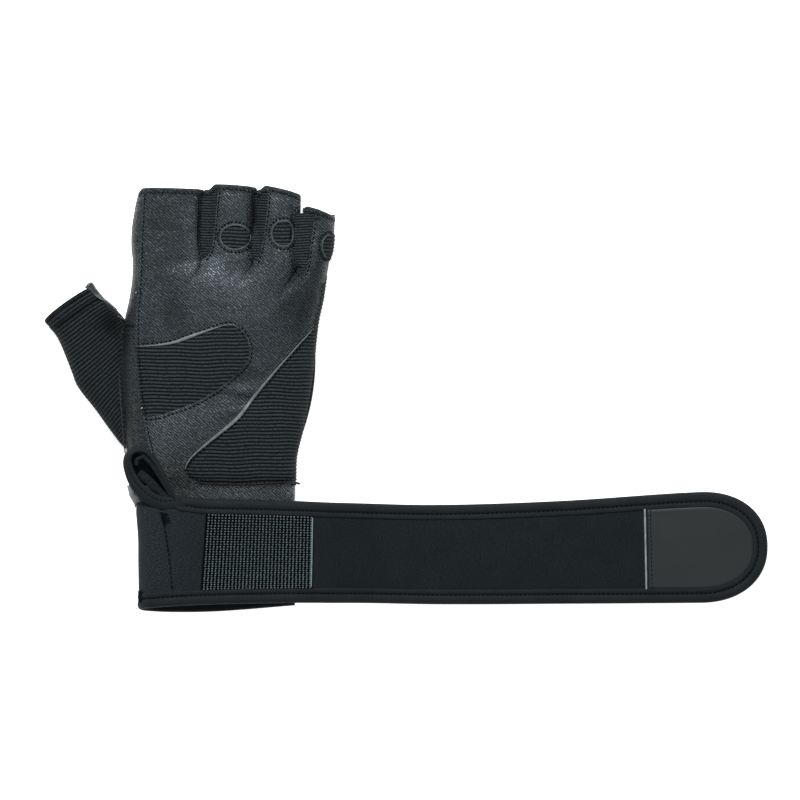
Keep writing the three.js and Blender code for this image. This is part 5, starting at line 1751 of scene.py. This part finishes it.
def strap_line_points(line, height):
    """Points and normals along a line on the strap's flat pattern."""
    nx, nz = strap_line(line[:, 0])[2:]
    normal = np.stack([nx, np.zeros_like(nx), nz], axis=1) * (1 if height > 0 else -1)
    return strap_point(line[:, 0], line[:, 1], height), normal


strap_threads = Lump()
ring = strap_ring(GROOVE_INSET)
first = int(np.argmax((ring[:, 1] > 30) & (ring[:, 0] < fold_end + 6)))
last = first + int(np.argmax(ring[first:, 0] < fold_start))
for height in (1.22, -1.22):
    for part in (ring[:first], ring[last:]):
        points, normal = strap_line_points(part, height)
        stitch_row(strap_threads, points, normal, pitch=2.6, length=2.1, radius=0.36)

PANEL_INSET = 7.6


def strap_grid(low, high, inset, across, step=1.5):
    """Rows of pattern points across the strap between two places along it."""
    tip = STRAP_LENGTH - inset
    reach = TIP_REACH - inset
    body = np.linspace(low, min(high, STRAP_BODY), max(2, int((min(high, STRAP_BODY) - low) / step)))
    if high > STRAP_BODY:
        turn = np.linspace(0, math.pi / 2, 34)[1:]
        turn[-1] = math.radians(88.5)
        body = np.concatenate([body, STRAP_BODY + reach * np.sin(turn) ** (2 / TIP_POWER)])
    round_share = np.clip((body - STRAP_BODY) / reach, 0, 1)
    width = (1 - round_share**TIP_POWER) ** (1 / TIP_POWER)
    a, b = band_edge("low", body) + inset, band_edge("high", body) - band_inset(body, inset)
    share = np.sin(np.linspace(-1, 1, across) * math.pi / 2)
    w = (a + b)[:, None] / 2 + share[None] * ((b - a) * width)[:, None] / 2
    s = np.broadcast_to(body[:, None], w.shape)
    from_edge = np.minimum(np.minimum(w - a[:, None], b[:, None] - w), tip - s)
    edge = (1 - np.abs(share))[None] * ((b - a) * width)[:, None] / 2
    return s, w, np.minimum(edge, np.maximum(from_edge, 0))


def strap_sheet(lump, s, w, top, bottom):
    a, b, c, d = (np.stack([s, w], axis=-1)[i, j] for i, j in (
        (slice(None, -1), slice(None, -1)), (slice(1, None), slice(None, -1)),
        (slice(1, None), slice(1, None)), (slice(None, -1), slice(1, None)),
    ))
    area = np.abs((c - a)[..., 0] * (d - b)[..., 1] - (c - a)[..., 1] * (d - b)[..., 0]).sum() / 2
    lump.cuts.append((*cut_size(np.stack([s.ravel(), w.ravel()], axis=1)), float(area)))
    return grid_sheet(lump, strap_point(s, w, top), strap_point(s, w, bottom), np.stack([s, w], axis=-1))


def grid_sheet(lump, upper, lower, uv):
    """Adds a closed sheet between two grids of points."""
    n, m = upper.shape[:2]
    points = np.vstack([upper.reshape(-1, 3), lower.reshape(-1, 3)])
    i, j = np.meshgrid(np.arange(n - 1), np.arange(m - 1), indexing="ij")
    quad = np.stack([i * m + j, (i + 1) * m + j, (i + 1) * m + j + 1, i * m + j + 1], axis=-1).reshape(-1, 4)
    count = n * m
    faces = [*quad.tolist(), *(quad[:, ::-1] + count).tolist()]
    rim = list(range(m)) + [i * m + m - 1 for i in range(1, n)]
    rim += [(n - 1) * m + k for k in range(m - 2, -1, -1)]
    rim += [i * m for i in range(n - 2, 0, -1)]
    faces += [[a, a + count, b + count, b] for a, b in zip(rim, rim[1:] + rim[:1])]
    uv = uv.reshape(-1, 2)
    return lump.add(points, faces, np.vstack([uv, uv]))


SEAM_TOP = (fold_end + 3.0, 49.3)
SEAM_END = (fold_end + 7.1, 8.4)


def seam_place(w):
    share = (w - SEAM_END[1]) / (SEAM_TOP[1] - SEAM_END[1])
    return mix(SEAM_END[0], SEAM_TOP[0], share) + 0.8 * np.sin(w / 13)


def neoprene():
    s, w, edge = strap_grid(PANEL_INSET, STRAP_LENGTH - PANEL_INSET, PANEL_INSET, 44, 1.3)
    crown = 1.0 + 0.5 * (1 - np.exp(-edge / 3.2))
    slow = 0.11 * np.sin(s / 11 + w / 19) * np.sin(w / 9 + s / 31) + 0.07 * np.sin(s / 5.1 - w / 7.7)
    slow = slow * smooth_step(1, 7, edge)
    apart = s - seam_place(w)
    seam = -1.0 * bell(apart, 0.8) + 0.3 * bell(np.abs(apart) - 2.4, 1.6)
    pucker = 0.12 * np.sin(w * 2 * math.pi / 3.4 + 0.6 * np.sin(w / 5)) * bell(np.abs(apart) - 2.6, 2.4)
    folds = -0.35 * bell(s - fold_end - 16 + (w - 30) * 0.2, 2.2) * bell(w - 42, 9)
    return strap_sheet(Lump(), s, w, crown + slow + seam + pucker + folds, -np.minimum(crown, 1.5))


neoprene().piece("neoprene_band", NEOPRENE, "neoprene", ["wrist_strap"], "folded")
w = np.linspace(SEAM_END[1], SEAM_TOP[1], 90)
points, normal = strap_line_points(np.stack([seam_place(w), w], axis=1), 1.05)
stitch_row(strap_threads, points, normal, pitch=2.5, length=2.1, radius=0.4)
for lift in (0.0, 0.9):
    zigzag = np.array([
        [SEAM_TOP[0] + (2.2 if i % 2 else -2.4) + 0.2 * i + lift, SEAM_TOP[1] + 1.8 - lift - 0.74 * i]
        for i in range(9)
    ])
    points, normal = strap_line_points(densify(zigzag, 0.5, closed=False), 1.66)
    bead(strap_threads, points, normal, 0.42, 0.4, sides=6)
for i in range(5):
    bar = np.stack([fold_end - 11.5 + 0.7 * i + np.zeros(12), np.linspace(0.6, 7.4, 12)], axis=1)
    points, normal = strap_line_points(bar, 1.95)
    bead(strap_threads, points, normal, 0.6, 0.5, sides=6)

# Hook tape
HOOK_EDGES = {"top": (fold_end + 26.6, fold_end + 87.0), "end": (fold_end + 23.6, fold_end + 86.2)}
HOOK_LEVEL = 1.72
HOOK_COLUMNS, HOOK_ROWS, HOOK_SIDES = 31, 31, 5
# A hook's rings: across the tape, height over it and radius
HOOK_RINGS = [
    (-0.26, 0.0, 0.3), (-0.24, 0.36, 0.34), (-0.05, 0.62, 0.38), (0.16, 0.6, 0.34), (0.28, 0.34, 0.22),
]


def hook_place(along, across):
    """Pattern place on the hook tape of two shares, 0 to 1."""
    near, far = (mix(HOOK_EDGES["end"][k], HOOK_EDGES["top"][k], across) for k in (0, 1))
    s = mix(near, far, along)
    low, high = strap_edge("low", s) + 8.2, strap_edge("high", s) - 8.2
    return s, mix(low, high, across)


def hook_tape():
    share, other = np.linspace(0, 1, 60), np.linspace(0, 1, 30)
    a, b = np.meshgrid(share, other, indexing="ij")
    s, w = hook_place(a, b)
    edge = np.minimum(np.minimum(a, 1 - a) * 61, np.minimum(b, 1 - b) * 42)
    top = HOOK_LEVEL + 0.16 * rounding(edge, 0.8)
    return strap_sheet(Lump(), s, w, top, np.full(s.shape, 1.0))


def hooks():
    """Small bent bristles in staggered columns."""
    column, row = np.meshgrid(np.arange(HOOK_COLUMNS), np.arange(HOOK_ROWS), indexing="ij")
    along = (column + 0.9) / (HOOK_COLUMNS + 0.8)
    across = (row + 0.5) / HOOK_ROWS
    across = across + 0.13 * across * (across - 1)
    s, w = hook_place(along.ravel(), across.ravel())
    lean = 0.12 * np.sin(column.ravel() * 1.7 + row.ravel() * 2.3)
    rings = []
    for dw, dh, radius in HOOK_RINGS:
        for a in np.linspace(0, 2 * math.pi, HOOK_SIDES, endpoint=False):
            ds = lean + math.cos(a) * radius * 1.35
            rise = HOOK_LEVEL + 0.1 + dh + math.sin(a) * radius * 0.6
            rings.append(strap_point(s + ds, w + dw + math.sin(a) * radius * 0.5, rise))
    lump = Lump().add(np.stack(rings, axis=1).reshape(-1, 3), tube_faces(len(s), len(HOOK_RINGS), HOOK_SIDES))
    caps = np.arange(HOOK_SIDES) + (len(HOOK_RINGS) - 1) * HOOK_SIDES
    lump.faces += (caps[None] + (np.arange(len(s)) * len(HOOK_RINGS) * HOOK_SIDES)[:, None]).tolist()
    return lump


hook_tape().piece("hook_tape_base", HOOK_BASE, "hook_tape", ["hook_tape"], "laid")
hooks().piece("hook_tape_hooks", HOOKS, "hook_tape")
selvedge = Lump()
across = np.linspace(0.02, 0.98, 60)
s, w = hook_place(np.full(60, 0.985), across)
points, normal = strap_line_points(np.stack([s, w], axis=1), HOOK_LEVEL + 0.2)
bead(selvedge, points, normal, 0.8, 0.45, sides=8)
selvedge.piece("hook_tape_selvedge", HOOKS, "hook_tape")
for share, wide in ((0.022, 1.0), (0.955, 0.8)):
    n = 46
    across = np.linspace(0.02, 0.98, n)
    s, w = hook_place(np.full(n, share), across)
    line = np.stack([s + np.where(np.arange(n) % 2, wide, -wide), w], axis=1)
    points, normal = strap_line_points(densify(line, 0.6, closed=False), HOOK_LEVEL + 0.3)
    bead(strap_threads, points, normal, 0.36, 0.32, sides=6)

# End tab
TAB_FROM = STRAP_LENGTH - TAB_LENGTH
TAB_INSET = 8.15


def tab_lean(w):
    return 0.6 * (w - 30) / 30


def end_tab():
    s, w, edge = strap_grid(TAB_FROM, STRAP_LENGTH - TAB_INSET, TAB_INSET, 54, 1.2)
    start = np.clip(1 - (s - TAB_FROM) / 12, 0, 1)
    s = s - tab_lean(w) * start
    near = np.minimum(edge, np.maximum(s - TAB_FROM + tab_lean(w), 0))
    top = 1.1 + 0.85 * rounding(near, 1.6) + 0.14 * smooth_step(1.5, 16, near)
    top = top - 0.12 * bell(s - TAB_FROM - 2.4, 0.6)
    return strap_sheet(Lump(), s, w, top, np.full(s.shape, 0.9))


end_tab().piece("end_tab_panel", TAB, "tab", ["end_tab"], "laid")
w = np.linspace(float(strap_edge("low", TAB_FROM)) + 7.9, float(strap_edge("high", TAB_FROM)) - 7.9, 80)
line = np.stack([TAB_FROM - 0.75 - tab_lean(w), w], axis=1)
points, normal = strap_line_points(line, 1.72)
lump = Lump()
bead(lump, points, normal, 1.15, 0.95)
lump.piece("tab_piping_cord", PIPING, "piping", ["tab_piping"])
points, normal = strap_line_points(line + [3.1, 0], 1.98)
stitch_row(strap_threads, points, normal, pitch=2.3, length=1.6, radius=0.24)

# The pleat at the thumb side
def pleat_line(rows, step=0.6):
    """A smooth line of (x, y in the picture, height over the hand, width, thickness, roll) rows."""
    rows = np.array([[*pixel(r[0], r[1]), *r[2:]] for r in rows], float)
    return rounded_line(rows, step)


def ribbon(lump, rows):
    """Adds a soft ribbon along a line; roll turns it from flat, 0, to standing on its edge, 90."""
    line = pleat_line(rows)
    path = line[:, :3].copy()
    t = tangents(path)
    up = np.array([0.0, 0.0, 1.0])
    across = unit(np.cross(t, np.broadcast_to(up, t.shape)))
    normal = unit(np.cross(across, t))
    roll = np.radians(line[:, 5])[:, None]
    a = across * np.cos(roll) + normal * np.sin(roll)
    b = normal * np.cos(roll) - across * np.sin(roll)
    angle = np.linspace(0, 2 * math.pi, 26, endpoint=False)
    x = np.sign(np.cos(angle)) * np.abs(np.cos(angle)) ** 0.75 / 2
    y = np.sign(np.sin(angle)) * np.abs(np.sin(angle)) ** 0.75 / 2
    y = y - np.sign(y) * 0.13 * bell(x - 0.2, 0.07)
    sweep(lump, path, a, b, np.stack([x, y], axis=1)[::-1], scale=line[:, 3:5])
    return path, a, b, line


strap_top_z = fold_z + fold_radius
PLEAT_OUTER = [
    (188, 501.3, strap_top_z + 0.4, 7.6, 2.2, 2),
    (176, 501.5, strap_top_z + 0.9, 7.8, 2.7, 5),
    (164.5, 502.2, strap_top_z + 1.3, 7.9, 3.0, 8),
    (153.2, 498.2, strap_top_z + 1.6, 7.6, 3.0, 10),
    (143, 490.4, strap_top_z + 1.6, 7.3, 3.0, 12),
    (135.8, 481.6, strap_top_z + 1.2, 6.5, 3.0, 18),
    (131, 471.5, strap_top_z + 0.6, 6.0, 3.0, 28),
    (128.9, 461.5, strap_top_z + 0.4, 5.8, 3.0, 42),
    (131.4, 453.4, strap_top_z + 1.0, 5.8, 2.9, 58),
    (139.4, 449.2, strap_top_z + 1.8, 5.8, 2.7, 74),
    (148.4, 450.9, strap_top_z + 2.4, 5.8, 2.7, 80),
    (156.2, 459.2, strap_top_z + 2.6, 5.8, 2.7, 82),
    (163.6, 471.8, strap_top_z + 2.6, 5.8, 2.6, 82),
    (169.6, 484.5, strap_top_z + 2.0, 5.2, 2.4, 82),
    (175.6, 496.0, strap_top_z + 1.0, 4.2, 2.0, 80),
]
PLEAT_RIDGE = [
    (137.6, 464.5, strap_top_z + 1.6, 3.8, 2.0, 60),
    (139.6, 458.6, strap_top_z + 2.2, 4.0, 2.2, 72),
    (146.0, 456.6, strap_top_z + 2.5, 4.2, 2.6, 80),
    (152.6, 462.8, strap_top_z + 2.6, 4.2, 2.8, 82),
    (160.0, 473.5, strap_top_z + 2.6, 4.2, 2.8, 82),
    (166.4, 484.5, strap_top_z + 2.2, 3.8, 2.4, 82),
    (172.0, 495.0, strap_top_z + 1.4, 3.2, 1.8, 80),
]
PLEAT_TONGUE = [
    (169, 497.4, strap_top_z + 1.8, 2.2, 1.4, 4),
    (161.2, 490.6, strap_top_z + 2.4, 3.8, 1.7, 6),
    (153.2, 482.8, strap_top_z + 2.7, 4.7, 1.9, 8),
    (146.0, 476.6, strap_top_z + 2.5, 5.1, 1.9, 10),
    (140.6, 472.4, strap_top_z + 1.8, 4.6, 1.7, 14),
]
HOLLOW = [
    (132, 458), (140, 453), (150, 459), (161, 474), (172, 495), (158, 497), (146, 489), (136, 478), (131.5, 467),
]
# A near black sheet in the pleat's hollow that paints the shade inside the loop
hollow = rounded_line([pixel(*p) for p in HOLLOW + HOLLOW[:1]])[:-1]
lump = cloth(Lump(), back_skin, hollow, no_relief, 0.4, lift=0.5)
lump.piece("pleat_hollow_shade", HOLLOW_SHADE, "binding")
lump = Lump()
path, a, b, line = ribbon(lump, PLEAT_OUTER)
lump.piece("pleat_loop", BINDING, "binding", ["pleat_outer"])
middle = path + b * (line[:, 4] / 2 * 0.86)[:, None]
flat_part = slice(0, int(len(path) * 0.42))
points, normal = middle[flat_part] + a[flat_part] * 1.3, b[flat_part]
stitch_row(strap_threads, points, normal, pitch=2.6, length=1.9, radius=0.26)
lump = Lump()
ribbon(lump, PLEAT_TONGUE)
ribbon(lump, PLEAT_RIDGE)
lump.piece("pleat_tongue", FOLDED_NEOPRENE, "binding", ["pleat_inner"])
strap_threads.piece("strap_threads", THREAD, "binding")

# The leather's lower corner, which goes in under the band, in the light leather that paints its highlight
down = np.linspace(66.0, 52.5, 22)[:, None]
share = (1 - np.cos(np.linspace(0, math.pi / 2, 18)))[None]
left = np.interp(down, [52.5, 55.5, 60.0, 66.0], [-52.5, -54.8, -57.4, -58.75])
corner_x = left + share * 16.0
corner_rise = np.interp(down, [52.5, 57.0, 60.0, 66.0], [5.2, 5.8, 7.6, 9.6])
corner_z = 11.6 + corner_rise * rounding(corner_x - left, 8.5)
corner_y = np.broadcast_to(down, corner_x.shape)
top = np.stack([corner_x, corner_y, corner_z], axis=-1)
lump = Lump()
grid_sheet(lump, top, top - [0, 0, 0.8], np.stack([corner_x, corner_y], axis=-1))
lump.piece("wrist_corner", HIGHLIT_EDGE_LEATHER, "leather")

# Loose ends of pale thread on the side seam
lump = Lump()
for px, py in ((137.8, 293.4), (143.8, 408.0)):
    middle = np.array([pixel(px, py)])
    line = middle + np.linspace(-0.45, 0.45, 7)[:, None] * [[0.8, 0.6]]
    points, normal = on_skin(back_skin, line, 0.25)
    bead(lump, points, normal, 0.5, 0.4, sides=6)
lump.piece("thread_ends", PALE_THREAD, "piping")

# Stage
floor_mesh = bpy.data.meshes.new("floor")
FLOOR_HALF = 3.0
corners = [(x * FLOOR_HALF, y * FLOOR_HALF, 0) for x, y in ((-1, -1), (1, -1), (1, 1), (-1, 1))]
floor_mesh.from_pydata(corners, [], [(0, 1, 2, 3)])
floor = bpy.data.objects.new("floor", floor_mesh)
bpy.context.scene.collection.objects.link(floor)
floor_look = Look("floor", Roughness=0.9)
floor_look.colour(floor_look.blend_colours(
    floor_look.noise(floor_look.place["Object"], 0.4, 2.0), (0.9, 0.9, 0.9), (0.93, 0.93, 0.93)
))
floor_look.shader.inputs["Emission Color"].default_value = (1.0, 1.0, 1.0, 1.0)
floor_look.shader.inputs["Emission Strength"].default_value = 0.85
floor_mesh.materials.append(floor_look.material)

world = bpy.data.worlds.new("studio")
world.use_nodes = True
world.node_tree.nodes["Background"].inputs["Color"].default_value = (0.93, 0.975, 1.0, 1.0)
world.node_tree.nodes["Background"].inputs["Strength"].default_value = 0.2
bpy.context.scene.world = world
bpy.context.scene.view_settings.view_transform = "Standard"


def soft_light(name, place, size, power):
    light = bpy.data.lights.new(name, "AREA")
    light.shape, light.size, light.energy = "DISK", size, power
    light.color = (0.94, 0.98, 1.0)
    lamp = bpy.data.objects.new(name, light)
    lamp.location = place
    target = np.array([-0.05, 0.0, 0.0])
    direction = target - np.array(place)
    lamp.rotation_mode = "QUATERNION"
    lamp.rotation_quaternion = Vector(direction).to_track_quat("-Z", "Y")
    bpy.context.scene.collection.objects.link(lamp)


soft_light("key", (-0.22, 0.85, 1.15), 0.7, 30)
soft_light("fill", (0.7, -0.7, 1.3), 1.2, 5)

camera = bpy.data.cameras.new("camera")
camera.sensor_width = SENSOR
camera.lens = SENSOR * (CAMERA_HEIGHT - FOCUS_HEIGHT) / VIEW_SIDE
view = bpy.data.objects.new("camera", camera)
view.location = (*VIEW_MIDDLE, CAMERA_HEIGHT)
bpy.context.scene.collection.objects.link(view)
bpy.context.scene.camera = view
